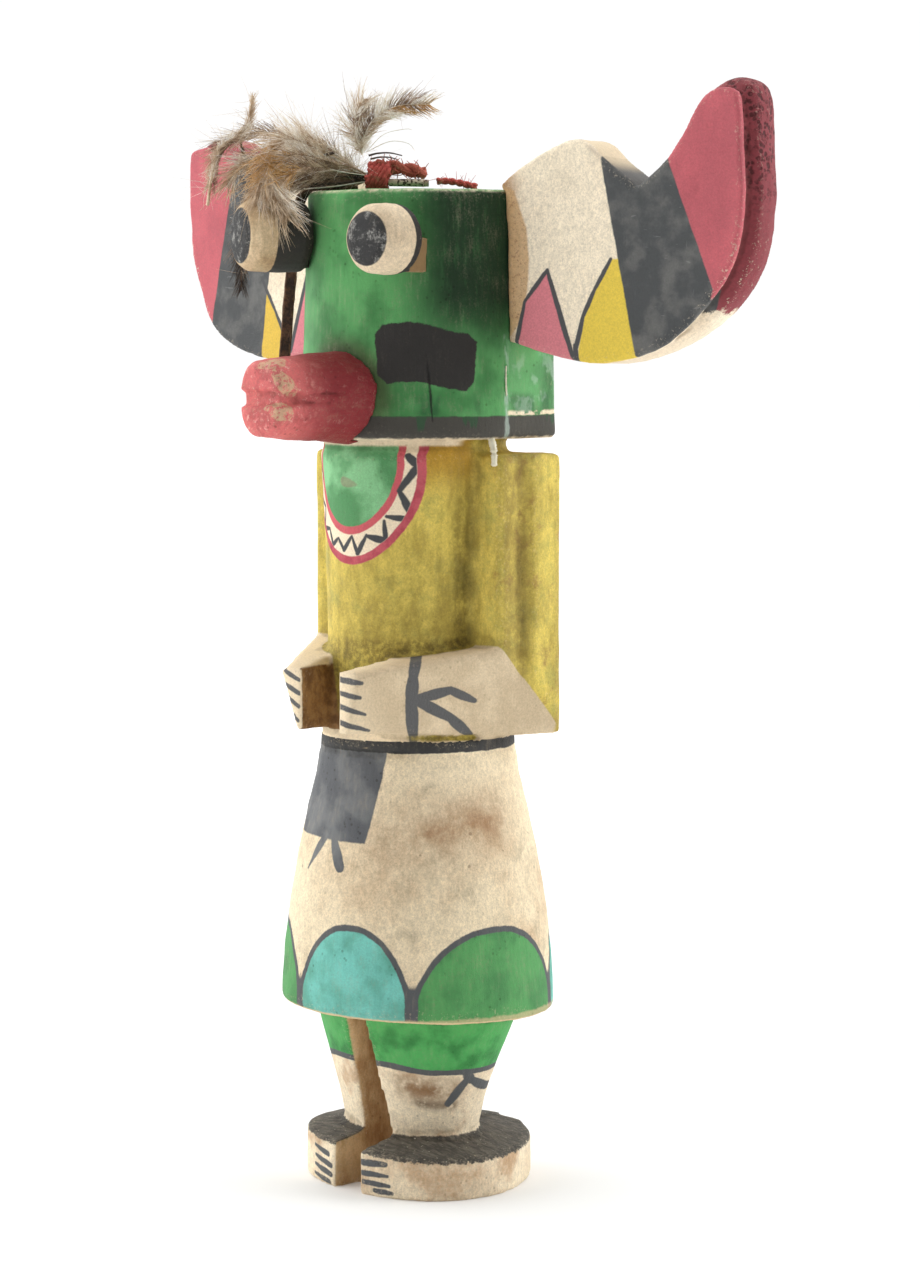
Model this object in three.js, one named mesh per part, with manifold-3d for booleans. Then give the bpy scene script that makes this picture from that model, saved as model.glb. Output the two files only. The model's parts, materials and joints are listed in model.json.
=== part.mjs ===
// A carved and painted wooden doll: a kilted figure with a snouted, big-eared head, peg eyes
// and a bundle of feathers tied on top.
// Millimetres, +Z up. The doll looks towards -Y, its left side is +X, and its soles are at z = 0.
import * as THREE from 'three';
import { mergeVertices } from 'three/addons/utils/BufferGeometryUtils.js';
import Module from 'manifold-3d';

const wasm = await Module();
wasm.setup();

// ---------------------------------------------------------------- driving dimensions
const joint = 0.3; // clearance left at every glued or tied joint
const roundSides = 48; // facets round the large turned forms

const foot = {
  height: 10.3, instep: 2, lean: 0.045, halfWidth: 27.3, centreX: -1.9, front: 21.5, back: 29.5,
  toePower: 0.87, heelPower: 1.18,
};
// Height, half width, half depth and centre of the two legs together, ankle first.
const leg = [
  [9, 16.9, 13.3, -4.3, 1.2], [12, 17.3, 13.6, -4.2, 1.1], [20, 19.8, 14.8, -3.6, 0.6],
  [29, 23.5, 16.5, -2.8, 0.2], [43, 29, 20.2, -2, 0.4],
];
const stanceTurn = -8; // degrees that legs and feet are turned to the doll's right
const slot = { centreX: -0.5, bottom: -5, top: 45, bottomWidth: 9, topWidth: 6, depth: 90 };
const kilt = { hem: 41.8, hemRadius: 31.5, hemTilt: 0.035, beltBottom: 99.8, beltRadius: 22.3, top: 104 };
const torso = { centreY: -1.5, aspect: 1.04, shoulder: 168.6, top: 173, neckRadius: 20.8 };
const arm = {
  inner: 14, outerFront: 28.7, outerBack: 31.3, front: -4, back: 14, corner: 1.2, rightShift: 1.2,
};
const forearm = { bottom: 105, top: 125.4, inner: 12, bevel: 1.6 };
const hand = { reach: -34.8, thickness: 4.4, bottom: 107.2, top: 121, gap: 11, offset: 2 };
const head = {
  bottom: 172, top: 227.5, edge: 0.8, back: 23, flat: 14.5,
  bottomWidth: 27.3, topWidth: 25.7, bottomFront: 26.8, topFront: 24.6,
};
const snout = {
  z: 181.4, root: -23.6, base: 10.6, tip: -51.6, tipHalfWidth: 6.5, tipHalfHeight: 8.4,
  tipEdge: 1.4, tipShrink: 0.86, squareness: 0.72, mouthBack: -35, lipGap: 1.8, lipDepth: 2.6,
};
const leftEye = { x: 15.6, z: 216.2, turn: 0, back: 3.8, length: 11.2, radius: 7.9 };
const rightEye = { x: -15.6, z: 217.4, turn: -24, back: 1.8, length: 15.6, radius: 8.3 };
const eyeShank = { width: 6.6, height: 7.6, drop: 3.4 };
const ear = {
  thickness: 12.4, sweep: 8.9, seatX: 27, edge: 0.5, rimFlare: 2, groove: 1.8, rimStart: 36, rimFull: 54,
};
const tie = { start: 7.2, z: 231, radius: 3.3, length: 4.3 };

// ---------------------------------------------------------------- solids
const flat = (x, y) => new THREE.Vector2(x, y);
const point = (x, y, z) => new THREE.Vector3(x, y, z);

// The closed mesh of a geometry as a solid that can be joined and cut, faces turned outwards.
function toSolid(geometry) {
  const bare = geometry.clone();
  bare.deleteAttribute('normal');
  bare.deleteAttribute('uv');
  const merged = mergeVertices(bare, 1e-4);
  const vertProperties = merged.attributes.position.array;
  const corner = (i) => new THREE.Vector3().fromArray(vertProperties, 3 * i);
  const faces = [];
  let volume = 0;
  for (let i = 0; i < merged.index.count; i += 3) {
    const [a, b, c] = merged.index.array.slice(i, i + 3);
    if (a === b || b === c || c === a) continue;
    volume += corner(a).dot(corner(b).cross(corner(c)));
    faces.push([a, b, c]);
  }
  const outward = volume > 0 ? faces : faces.map(([a, b, c]) => [a, c, b]);
  const triVerts = Uint32Array.from(outward.flat());
  return new wasm.Manifold(new wasm.Mesh({ numProp: 3, vertProperties, triVerts }));
}

// A solid skinned over outlines with equal numbers of points; place sets a point of outline i in space.
function loft(given, place) {
  const clockwise = THREE.ShapeUtils.isClockWise(given[0]);
  const outlines = clockwise ? given.map((outline) => outline.toReversed()) : given;
  const sides = outlines[0].length;
  const corners = outlines.flatMap((outline, i) => outline.map((p) => place(p, i)));
  const index = [];
  for (let i = 0; i + 1 < outlines.length; i++) {
    for (let j = 0; j < sides; j++) {
      const a = i * sides + j;
      const b = i * sides + ((j + 1) % sides);
      index.push(a, b, b + sides, a, b + sides, a + sides);
    }
  }
  const last = (outlines.length - 1) * sides;
  const firstCap = THREE.ShapeUtils.triangulateShape(outlines[0], []);
  const lastCap = THREE.ShapeUtils.triangulateShape(outlines.at(-1), []);
  firstCap.forEach(([a, b, c]) => index.push(c, b, a));
  lastCap.forEach(([a, b, c]) => index.push(last + a, last + b, last + c));
  const geometry = new THREE.BufferGeometry().setFromPoints(corners);
  geometry.setIndex(index);
  return toSolid(geometry);
}

// Outlines stacked at heights along +Z.
const stack = (layers) =>
  loft(layers.map((layer) => layer.outline), (p, i) => point(p.x, p.y, layers[i].z));

// A turned form about +Z, oval by its two scales; move, where given, shifts each of its points.
function lathe(profile, scaleX, scaleY, y, move = () => {}) {
  const geometry = new THREE.LatheGeometry(profile.map(([r, z]) => flat(r, z)), roundSides);
  geometry.rotateX(Math.PI / 2);
  geometry.scale(scaleX, scaleY, 1);
  geometry.translate(0, y, 0);
  const position = geometry.attributes.position;
  for (let i = 0; i < position.count; i++) {
    const p = new THREE.Vector3().fromBufferAttribute(position, i);
    move(p);
    position.setXYZ(i, p.x, p.y, p.z);
  }
  return toSolid(geometry);
}

function ellipse(halfX, halfY, y, sides = roundSides) {
  return Array.from({ length: sides }, (_, i) => {
    const a = (2 * Math.PI * i) / sides;
    return flat(halfX * Math.cos(a), y + halfY * Math.sin(a));
  });
}

// A flat or lens-shaped section carried along a curve, kept level along the side direction.
function sweep(curve, side, sections) {
  const steps = sections.length - 1;
  return loft(sections, (p, i) => {
    const normal = curve.getTangent(i / steps).cross(side).normalize();
    return curve.getPoint(i / steps).addScaledVector(side, p.x).addScaledVector(normal, p.y);
  });
}

function toGeometry(solid) {
  const mesh = solid.getMesh();
  const geometry = new THREE.BufferGeometry();
  geometry.setAttribute('position', new THREE.BufferAttribute(mesh.vertProperties.slice(), 3));
  geometry.setIndex([...mesh.triVerts]);
  return geometry;
}

const mirrorX = (solid, shift = 0) => toSolid(toGeometry(solid).scale(-1, 1, 1).translate(-shift, 0, 0));

// ---------------------------------------------------------------- the carved figure
// Both feet are one rounded slab: blunt toes, heels drawn in, and a top that rises to the ankles
// and falls to the left foot.
function feetBlock() {
  const outline = ellipse(1, 1, 0).map((p) => {
    const [reach, power] = p.y > 0 ? [foot.back, foot.heelPower] : [foot.front, foot.toePower];
    return flat(
      foot.centreX + foot.halfWidth * Math.sign(p.x) * Math.abs(p.x) ** power,
      reach * Math.sign(p.y) * Math.abs(p.y) ** power);
  });
  const scales = [0.98, 1, 1, 0.98, 0.55];
  const heights = [0, 0.6, foot.height - 0.6, foot.height, foot.height + foot.instep];
  const rings = scales.map((k) => outline.map((p) => p.clone().multiplyScalar(k)));
  return loft(rings, (p, i) => point(p.x, p.y, heights[i] - (i > 1 ? foot.lean * p.x : 0)));
}

const legsBlock = () => stack(leg.map(([z, halfX, halfY, x, y]) => (
  { z, outline: ellipse(halfX, halfY, y).map((p) => flat(p.x + x, p.y)) })));

// The saw cut that parts the legs and feet, a little narrower at its top.
function legSlot() {
  const shape = new THREE.Shape([
    flat(-slot.bottomWidth / 2, slot.bottom), flat(slot.bottomWidth / 2, slot.bottom),
    flat(slot.topWidth / 2, slot.top), flat(-slot.topWidth / 2, slot.top),
  ]);
  const geometry = new THREE.ExtrudeGeometry(shape, { depth: slot.depth, bevelEnabled: false });
  geometry.rotateX(Math.PI / 2);
  geometry.translate(slot.centreX, slot.depth / 2, 0);
  return toSolid(geometry);
}

// The kilt, bell-shaped; its hem lifts a little towards the doll's right front.
function kiltBlock() {
  const { hem, hemRadius, hemTilt, beltBottom, beltRadius, top } = kilt;
  const profile = [
    [0, hem], [hemRadius - 0.9, hem], [hemRadius, hem + 0.9], [hemRadius - 0.1, 46.5],
    [30.8, 54], [29.5, 65], [27.5, 77], [25.1, 88], [23.3, 95], [22.7, beltBottom],
    [beltRadius, beltBottom + 0.4], [beltRadius, top], [0, top],
  ];
  return lathe(profile, 1, 1, -0.6, (p) => {
    const low = 1 - THREE.MathUtils.smoothstep(p.z, hem, 88);
    p.z += hemTilt * low * p.clone().setZ(0).dot(tieAlong);
  });
}

function torsoBlock() {
  const profile = [
    [0, kilt.top - 1], [21.6, kilt.top - 1], [20.8, 108], [20, 118], [19.9, 130], [20.4, 145],
    [20.9, 158], [21.4, torso.shoulder], [torso.neckRadius, torso.shoulder + 0.6],
    [torso.neckRadius, torso.top], [0, torso.top],
  ];
  return lathe(profile, 1 / torso.aspect, torso.aspect, torso.centreY);
}

// Upper arm: an upright block whose outer face is lightly hollowed, with eased corners.
function upperArm() {
  const { inner, outerFront, outerBack, front, back, corner } = arm;
  const outline = [
    flat(inner, front), flat(outerFront - corner, front), flat(outerFront, front + corner),
    flat(outerFront + 0.3, 2.2), flat(outerBack, 4.4), flat(outerBack, back - corner),
    flat(outerBack - corner, back), flat(inner, back),
  ];
  const eased = outline.map((p) => flat(p.x - (p.x > inner ? 0.7 : 0), p.y * 0.95));
  return stack([
    { z: forearm.bottom, outline },
    { z: torso.shoulder - 0.8, outline }, { z: torso.shoulder, outline: eased },
  ]);
}

// Forearm blank: tapers from the elbow to the thin end of the hand, with an eased top edge.
function forearmBlank(handInner) {
  const { bottom, top, inner, bevel } = forearm;
  const handOuter = handInner + hand.thickness + 3;
  const section = ellipse(1, 1, 0, 5);
  const handEnd = [
    point(handInner, hand.reach, hand.bottom), point(handOuter, hand.reach, hand.bottom),
    point(handOuter, hand.reach, hand.top - bevel), point(handInner + hand.thickness, hand.reach, hand.top),
    point(handInner, hand.reach, hand.top),
  ];
  const elbow = [
    point(inner, arm.back, bottom), point(arm.outerBack + 1, arm.back, bottom),
    point(arm.outerFront + 1, arm.front, top - bevel), point(arm.outerFront - 1.6, arm.front, top),
    point(inner, arm.front, top),
  ];
  return loft([section, section], (p, i) => (i ? elbow : handEnd)[section.indexOf(p)].clone());
}

// One arm. A single knife cut from hand to elbow slants its outer face under, ending in a crease
// that runs from the front of the upper arm, at the forearm's top, down to the elbow.
function armSolid(handInner) {
  const crease = point(arm.outerFront, arm.front, forearm.top);
  const elbow = point(arm.outerBack, arm.back, forearm.bottom);
  const handSide = point(handInner + hand.thickness, hand.reach, (hand.bottom + hand.top) / 2);
  const along = elbow.clone().sub(crease).normalize();
  const outward = handSide.sub(crease).cross(along).normalize();
  const reach = 120;
  const shavings = new THREE.BoxGeometry(reach, reach, reach);
  shavings.applyMatrix4(new THREE.Matrix4().makeBasis(along, outward.clone().cross(along), outward));
  shavings.translate(...crease.clone().addScaledVector(outward, reach / 2).toArray());
  return upperArm().add(forearmBlank(handInner)).subtract(toSolid(shavings));
}

function headOutline(z, grow) {
  const t = (z - head.bottom) / (head.top - head.bottom);
  const width = THREE.MathUtils.lerp(head.bottomWidth, head.topWidth, t) + grow;
  const front = THREE.MathUtils.lerp(head.bottomFront, head.topFront, t) + grow;
  const backDepth = head.back - head.flat + grow;
  const face = Array.from({ length: 33 }, (_, i) => {
    const a = Math.PI + (Math.PI * i) / 32;
    return flat(width * Math.cos(a), front * Math.sin(a));
  });
  const rear = Array.from({ length: 17 }, (_, i) => {
    const a = (Math.PI * i) / 16;
    return flat(width * Math.cos(a), head.flat + backDepth * Math.sin(a) ** 0.9);
  });
  return [...face, ...rear];
}

// The head block: round in front, flat where the ears are glued on, wider at the chin than the crown.
function headBlock(grow) {
  const low = head.bottom - grow;
  const high = head.top + grow;
  const layer = (z, inset) => ({ z, outline: headOutline(z, grow - inset) });
  return stack([
    layer(low, head.edge), layer(low + head.edge, 0), layer(high - head.edge, 0), layer(high, head.edge),
  ]);
}

function figureSolid() {
  const leftArm = armSolid(hand.gap / 2 + hand.offset);
  const rightArm = mirrorX(armSolid(hand.gap / 2 - hand.offset - arm.rightShift), arm.rightShift);
  const lowerBody = toGeometry(feetBlock().add(legsBlock()).subtract(legSlot()));
  lowerBody.rotateZ(THREE.MathUtils.degToRad(stanceTurn));
  return toSolid(lowerBody).add(kiltBlock()).add(torsoBlock()).add(leftArm).add(rightArm).add(headBlock(0));
}

// ---------------------------------------------------------------- face
// How far along the snout y lies: 0 at its root, 1 at its tip.
const alongSnout = (y) => (y - snout.root) / (snout.tip - snout.root);

function snoutOutline(grow) {
  const side = [snout.root + 3, snout.tip + 6].map((y) => (
    flat(THREE.MathUtils.lerp(snout.base, snout.tipHalfWidth, alongSnout(y)) + grow, y)));
  const nose = [0.85, 0.45].map((k) => flat((snout.tipHalfWidth + grow) * k, snout.tip + 2 * k - grow));
  const half = [...side, ...nose];
  return [...half, ...half.toReversed().map((p) => flat(-p.x, p.y))];
}

// Blunt snout with a V-shaped mouth line cut round its end.
function snoutSolid() {
  const stations = [snout.root, -28, -35, -43, snout.tip + snout.tipEdge, snout.tip];
  const blank = loft(stations.map((y) => {
    const t = alongSnout(y);
    const shrink = y === snout.tip ? snout.tipShrink : 1;
    const halfX = THREE.MathUtils.lerp(snout.base, snout.tipHalfWidth, t) * shrink;
    const halfZ = THREE.MathUtils.lerp(snout.base, snout.tipHalfHeight, t) * shrink;
    const power = THREE.MathUtils.lerp(1, snout.squareness, t);
    return ellipse(1, 1, 0, 28).map((p) => flat(
      halfX * Math.sign(p.x) * Math.abs(p.x) ** power, halfZ * Math.sign(p.y) * Math.abs(p.y) ** power));
  }), (p, i) => point(p.x, stations[i], snout.z + p.y));
  const tongue = stack([
    { z: snout.z - snout.lipGap, outline: snoutOutline(0.3) },
    { z: snout.z, outline: snoutOutline(-snout.lipDepth) },
    { z: snout.z + snout.lipGap, outline: snoutOutline(0.3) },
  ]);
  const mouthBox = new THREE.BoxGeometry(40, 40, 2 * snout.lipGap);
  mouthBox.translate(0, snout.mouthBack - 20, snout.z);
  const mouthLine = toSolid(mouthBox).subtract(tongue);
  return blank.subtract(mouthLine).subtract(headBlock(joint));
}

// A peg eye: a barrel-shaped knob on a square shank, its axis turned about Z by placement.turn.
function eyeSolid(placement) {
  const { radius, length, back } = placement;
  const profile = [
    [0, 0], [radius - 1.1, 0], [radius - 0.2, 1.1], [radius, 0.4 * length], [radius - 0.3, length - 2.6],
    [radius - 1.5, length - 0.9], [radius - 3.4, length - 0.1], [0, length + 0.3],
  ];
  const knob = new THREE.LatheGeometry(profile.map(([r, y]) => flat(r, back + y)), 28);
  knob.rotateX(Math.PI);
  const peg = new THREE.BoxGeometry(eyeShank.width, back + 8, eyeShank.height);
  peg.translate(0, -(back + 1) + (back + 8) / 2, -eyeShank.drop);
  const surfaceY = -head.topFront * Math.sqrt(1 - (placement.x / head.topWidth) ** 2);
  const put = (geometry) => {
    geometry.rotateZ(THREE.MathUtils.degToRad(placement.turn));
    geometry.translate(placement.x, surfaceY, placement.z);
    return toSolid(geometry);
  };
  return put(knob).add(put(peg)).subtract(headBlock(joint));
}

// ---------------------------------------------------------------- ears
// Outline of an ear: x runs outwards from the head, y is height. Keel and horn differ left and right.
function earOutline(keel, horn, notch) {
  const shape = new THREE.Shape();
  shape.moveTo(-0.6, 194);
  shape.splineThru(keel);
  shape.splineThru(horn);
  shape.lineTo(...notch);
  shape.splineThru([flat(24.4, 233.6), flat(20.6, 237), flat(16, 238), flat(8.6, 235.4), flat(2, 231.6)]);
  shape.lineTo(-2.2, 228.4);
  const points = shape.getPoints(3);
  return points.filter((p, i) => p.distanceTo(points[(i + 1) % points.length]) > 0.6);
}

// Moves each point of an outline inwards by its own amount.
function inset(outline, amount) {
  const count = outline.length;
  return outline.map((p, i) => {
    const along = outline[(i + 1) % count].clone().sub(outline[(i + count - 1) % count]).normalize();
    return flat(p.x - along.y * amount(p), p.y + along.x * amount(p));
  });
}

// An ear board with eased edges. Its outer rim flares towards the back, behind a gouged groove:
// each layer is a depth, an inset all round and a further inset at the outer rim.
function earSolid(outline) {
  const { thickness, seatX, edge, rimFlare, groove } = ear;
  const angle = THREE.MathUtils.degToRad(ear.sweep);
  const lastDepth = thickness - edge;
  const layers = [[0, edge, 0.3], [edge, 0, 0.4], [1.8, 0, 0.5], [3.4, 0, groove], [5.4, 0, -rimFlare * 0.7],
    [8.6, 0, -rimFlare], [lastDepth, 0, -rimFlare * 0.8], [thickness, edge, -rimFlare * 0.5]];
  const board = loft(layers.map(([, all, rim]) => inset(outline, (p) => (
    all + rim * THREE.MathUtils.smoothstep(p.x, ear.rimStart, ear.rimFull)))), (p, i) => {
    const depth = layers[i][0];
    return point(
      seatX + p.x * Math.cos(angle) - depth * Math.sin(angle),
      p.x * Math.sin(angle) + depth * Math.cos(angle), p.y);
  });
  return board.subtract(headBlock(joint));
}

const leftEarOutline = () => earOutline(
  [flat(11, 190.7), flat(24, 188.9), flat(38, 192.2), flat(49.6, 200.4), flat(57.2, 211), flat(59.6, 224),
    flat(59, 236)],
  [flat(58.4, 245.6), flat(56.8, 248.1), flat(53.4, 248.7), flat(49.8, 247.2), flat(47.4, 244.6),
    flat(44.3, 239.2), flat(41, 234.3), flat(37.4, 230.9)], [32.8, 227.4]);
const rightEarOutline = () => earOutline(
  [flat(14, 190.2), flat(26, 189.3), flat(36, 190.9), flat(43.6, 193.4), flat(49.4, 197), flat(53.4, 203),
    flat(57.6, 214.6), flat(58.8, 226)],
  [flat(58.6, 237.6), flat(56.6, 239.9), flat(50, 240.5), flat(46.4, 240.1), flat(42.6, 238), flat(36, 231.8)],
  [31.6, 227.2]);

// ---------------------------------------------------------------- feather tie on the crown
// Places on the tie are (along, side, z): along runs to the doll's front right, side to its front left.
const tieAlong = point(-0.743, -0.669, 0);
const tieSide = point(0.669, -0.743, 0);
const onTie = ([along, side, z]) =>
  point(0, 0, z).addScaledVector(tieAlong, along).addScaledVector(tieSide, side);

// One feather: a lens-shaped blade, widest past its middle, closed to a narrow quill and tip.
function feather({ path, width, thickness = 1.6, steps = 7 }) {
  const curve = new THREE.CatmullRomCurve3(path.map(onTie));
  const sections = Array.from({ length: steps + 1 }, (_, i) => {
    const t = i / steps;
    const swell = 0.16 + 0.84 * Math.sin(Math.PI * Math.min(1, t * 0.94 + 0.02)) ** 0.8;
    return ellipse((thickness / 2) * (0.45 + 0.55 * swell), (width / 2) * swell, 0, 6);
  });
  return sweep(curve, tieSide, sections);
}

const tuftFeathers = [
  { path: [[11.9, 0, 231.2], [21, 1, 234.6], [32, 0, 239.6]], width: 9, thickness: 3 },
  { path: [[11.9, 0.6, 231], [23, 4, 233.8], [38, 5, 232.8]], width: 12, thickness: 3 },
  { path: [[11.9, 0.8, 230.8], [24, 6, 233.4], [35, 9, 232], [42, 10, 229.4]], width: 7, thickness: 2.4 },
  { path: [[11.9, -0.6, 231.2], [27, -1, 236.6], [40, 1, 238], [46, 2, 226]], width: 5 },
  { path: [[11.9, -0.8, 231.2], [21, -5, 235], [30, -8, 238.5]], width: 8, thickness: 2.4 },
  { path: [[31, -0.4, 237.4], [40, 0, 239.6], [40.4, 0, 243.6], [37.8, 0, 249]], width: 2.4 },
  { path: [[26, -2, 235.8], [36, -6, 232], [40.8, -8, 221], [41, -8, 204.5]], width: 5 },
  { path: [[11.9, -1, 231.2], [21, -7, 233], [32, -12, 233.6]], width: 8, thickness: 2.2 },
];

const featherTuft = () => tuftFeathers.map(feather).reduce((tuft, blade) => tuft.add(blade));

function crestFeather() {
  return feather({
    path: [[12.9, 0, 235.8], [15.8, 0, 239.8], [12.6, 0, 245], [6, 0, 247.7], [-2.6, 0, 246.8]],
    width: 6.6, thickness: 1.4, steps: 11,
  });
}

// Turned piece lying along the tie; its profile is radius against distance along.
function tieRound(profile, start, z) {
  const geometry = new THREE.LatheGeometry(profile.map(([r, y]) => flat(r, start + y)), 16);
  geometry.rotateZ(Math.PI / 2);
  geometry.rotateZ(Math.atan2(-tieAlong.y, -tieAlong.x));
  geometry.translate(0, 0, z);
  return toSolid(geometry);
}

// Yarn wound round the quills, one ridge for each turn.
function yarnWrap() {
  const turns = 4;
  const pitch = tie.length / turns;
  const ridges = Array.from({ length: turns }, (_, i) => [
    [tie.radius - 0.45, i * pitch], [tie.radius, (i + 0.5) * pitch],
  ]).flat();
  const end = [[tie.radius - 0.45, tie.length], [0, tie.length]];
  return tieRound([[0, 0], ...ridges, ...end], tie.start, tie.z);
}

// The long end of the yarn, laid back over the quill ends as a soft roll.
const yarnTail = () => tieRound(
  [[0, 0], [0.9, 0.1], [1.6, 0.9], [1.7, 4], [1.6, 7], [1.2, 8.4], [0, 8.6]], tie.start - 8.9, 232.3);

// The butt ends of the quills, side by side under the yarn's end.
function quillEnds() {
  const start = tie.start - joint;
  const fan = 1.5;
  return [8.6, 9.8, 9.2, 8.2].map((length, i) => {
    const side = i - fan;
    const curve = new THREE.LineCurve3(
      onTie([start, side, 229.3]), onTie([start - length, fan * side, 228.9]));
    return sweep(curve, tieSide, [1, 0.9].map((k) => ellipse(0.85 * k, 0.8 * k, 0, 6)));
  }).reduce((bundle, quill) => bundle.add(quill));
}

// A flat strip along a path; twist gives its turn about the path, in quarter turns.
function strip(path, width, thickness, steps, twist = () => 0) {
  const [w, h] = [width / 2, thickness / 2];
  const corners = [flat(-w, -h), flat(w, -h), flat(w, h), flat(-w, h)];
  const sections = Array.from({ length: steps + 1 }, (_, i) => (
    corners.map((p) => p.clone().rotateAround(flat(0, 0), (Math.PI / 2) * twist(i / steps)))));
  return sweep(new THREE.CatmullRomCurve3(path.map(onTie)), tieSide, sections);
}

const redStrip = () => strip([[-4.6, 0, 228.8], [-8, 0.6, 230.2], [-13, 0.4, 228.8]], 2.2, 1, 8);

// Leather strip that leaves the tie, crosses the crown's edge and hangs in front of the right ear.
const leatherStrip = () => strip([
  [14, -4.4, 228.5], [20, -5, 228.5], [25.6, -5.4, 227.8], [28.4, -5.4, 222], [29.2, -5.4, 211],
  [30.8, -5.2, 192], [31.6, -5, 180],
], 2.6, 1, 28, (t) => THREE.MathUtils.smoothstep(t, 0.28, 0.45));

// ---------------------------------------------------------------- assembly
function piece(name, solid, color, roughness = 0.85) {
  const material = new THREE.MeshStandardMaterial({ color, roughness, metalness: 0, flatShading: true });
  const result = new THREE.Mesh(toGeometry(solid), material);
  result.name = name;
  return result;
}

const doll = new THREE.Group();
doll.name = 'doll';
doll.add(
  piece('figure', figureSolid(), 0xd9bf96),
  piece('left_ear', earSolid(leftEarOutline()), 0xc25a66),
  piece('right_ear', mirrorX(earSolid(rightEarOutline())), 0xc25a66),
  piece('snout', snoutSolid(), 0xb8434c),
  piece('left_eye', eyeSolid(leftEye), 0xe3cfac),
  piece('right_eye', eyeSolid(rightEye), 0xe3cfac),
  piece('feather_tuft', featherTuft(), 0xa28b6c, 0.95),
  piece('crest_feather', crestFeather(), 0x9a8f84, 0.95),
  piece('yarn_wrap', yarnWrap(), 0x9c3b34, 0.95),
  piece('yarn_tail', yarnTail(), 0x9c4a3c, 0.95),
  piece('quill_ends', quillEnds(), 0x6e5f52, 0.7),
  piece('red_strip', redStrip(), 0x9c3b34, 0.95),
  piece('leather_strip', leatherStrip(), 0x3c2418, 0.8),
);

// The frame's origin is on the ground under the middle of the doll's box.
const box = new THREE.Box3().setFromObject(doll);
const middle = box.getCenter(new THREE.Vector3());
doll.position.set(-middle.x, -middle.y, -box.min.z);

export default doll;
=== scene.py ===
import json
import math
import random

import bpy
import numpy as np
from mathutils import Matrix, Vector

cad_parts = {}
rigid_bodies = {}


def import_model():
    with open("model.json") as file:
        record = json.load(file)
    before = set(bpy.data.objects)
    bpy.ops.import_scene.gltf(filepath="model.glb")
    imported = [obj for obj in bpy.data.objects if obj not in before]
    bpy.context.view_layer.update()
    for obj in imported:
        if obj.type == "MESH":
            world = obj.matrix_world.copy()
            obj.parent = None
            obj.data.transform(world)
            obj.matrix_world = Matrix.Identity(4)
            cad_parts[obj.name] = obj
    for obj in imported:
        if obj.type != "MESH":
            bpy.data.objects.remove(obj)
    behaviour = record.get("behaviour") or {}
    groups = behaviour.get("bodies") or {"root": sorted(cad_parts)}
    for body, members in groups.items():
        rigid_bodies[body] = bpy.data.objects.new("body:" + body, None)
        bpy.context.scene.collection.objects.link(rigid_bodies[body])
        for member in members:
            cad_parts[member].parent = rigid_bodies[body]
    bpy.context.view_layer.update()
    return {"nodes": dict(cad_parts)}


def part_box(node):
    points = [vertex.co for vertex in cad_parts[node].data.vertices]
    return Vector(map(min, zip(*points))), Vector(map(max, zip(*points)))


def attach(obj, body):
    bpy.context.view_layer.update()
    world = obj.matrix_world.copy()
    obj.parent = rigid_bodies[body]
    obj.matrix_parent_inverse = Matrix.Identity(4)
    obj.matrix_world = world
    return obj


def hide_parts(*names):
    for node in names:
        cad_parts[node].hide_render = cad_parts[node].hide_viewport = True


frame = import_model()
print("frame loaded")

# the doll's upright axis: midway between the ears' seats, and as far behind the hands as they reach
handReach = 0.0348
axis = Vector((
    (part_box("left_ear")[0].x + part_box("right_ear")[1].x) / 2,
    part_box("figure")[0].y + handReach,
    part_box("figure")[0].z,
))
mm = 0.001  # a millimetre in the frame's metres


def spot(x, y, z):  # millimetres from the axis to a place in the scene
    return axis + Vector((x, y, z)) * mm


# camera, floor and light
camera = {"place": (573.1, -622.6, 198.5), "tilt": 84.996, "turn": 42.0, "lens": 103.42, "sensor": 36.0}
floor = {"size": 14.0, "shade": 0.8, "glowFrom": 0.12, "glowTo": 1.0, "nearGlow": 0.12, "farGlow": 0.62}
sky = {"dim": 0.19, "bright": 1.02, "turn": 42.0, "from": -0.45, "to": 0.65}
lamps = {
    "keyLeft": {"place": (-760, -560, 420), "size": 1.6, "power": 12.5},
    "sideRight": {"place": (720, 640, 460), "size": 0.6, "power": 5.2},
    "overhead": {"place": (-60, 60, 900), "size": 0.9, "power": 3.6},
}

bpy.ops.object.select_all(action="DESELECT")
bpy.ops.object.camera_add(
    location=spot(*camera["place"]),
    rotation=(math.radians(camera["tilt"]), 0, math.radians(camera["turn"])),
)
view = bpy.context.object
view.name = "frontCamera"
view.data.lens = camera["lens"]
view.data.sensor_width = camera["sensor"]
view.data.clip_start = 0.05
bpy.context.scene.camera = view
bpy.context.scene.view_settings.view_transform = "Standard"

for name, lamp in lamps.items():
    bpy.ops.object.light_add(type="AREA", location=spot(*lamp["place"]))
    light = bpy.context.object
    light.name = name
    light.data.size = lamp["size"]
    light.data.energy = lamp["power"]
    aim = spot(0, 0, 120) - light.location
    light.rotation_euler = aim.to_track_quat("-Z", "Y").to_euler()


# shader helpers, which add nodes to the tree that is being built
building = {"tree": None}


def reckoned(operation, swapped=False):
    def reckon(self, other):
        return calc(operation, other, self) if swapped else calc(operation, self, other)
    return reckon


class Value:  # what a node gives, reckoned with like a number
    def __init__(self, socket):
        self.socket = socket

    def __neg__(self):
        return calc("MULTIPLY", self, -1.0)

    def __abs__(self):
        return calc("ABSOLUTE", self)

    __add__, __radd__ = reckoned("ADD"), reckoned("ADD", swapped=True)
    __sub__, __rsub__ = reckoned("SUBTRACT"), reckoned("SUBTRACT", swapped=True)
    __mul__, __truediv__, __pow__ = reckoned("MULTIPLY"), reckoned("DIVIDE"), reckoned("POWER")


def plug(value, socket):
    if isinstance(value, Value):
        building["tree"].links.new(value.socket, socket)
    else:
        socket.default_value = value


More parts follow.
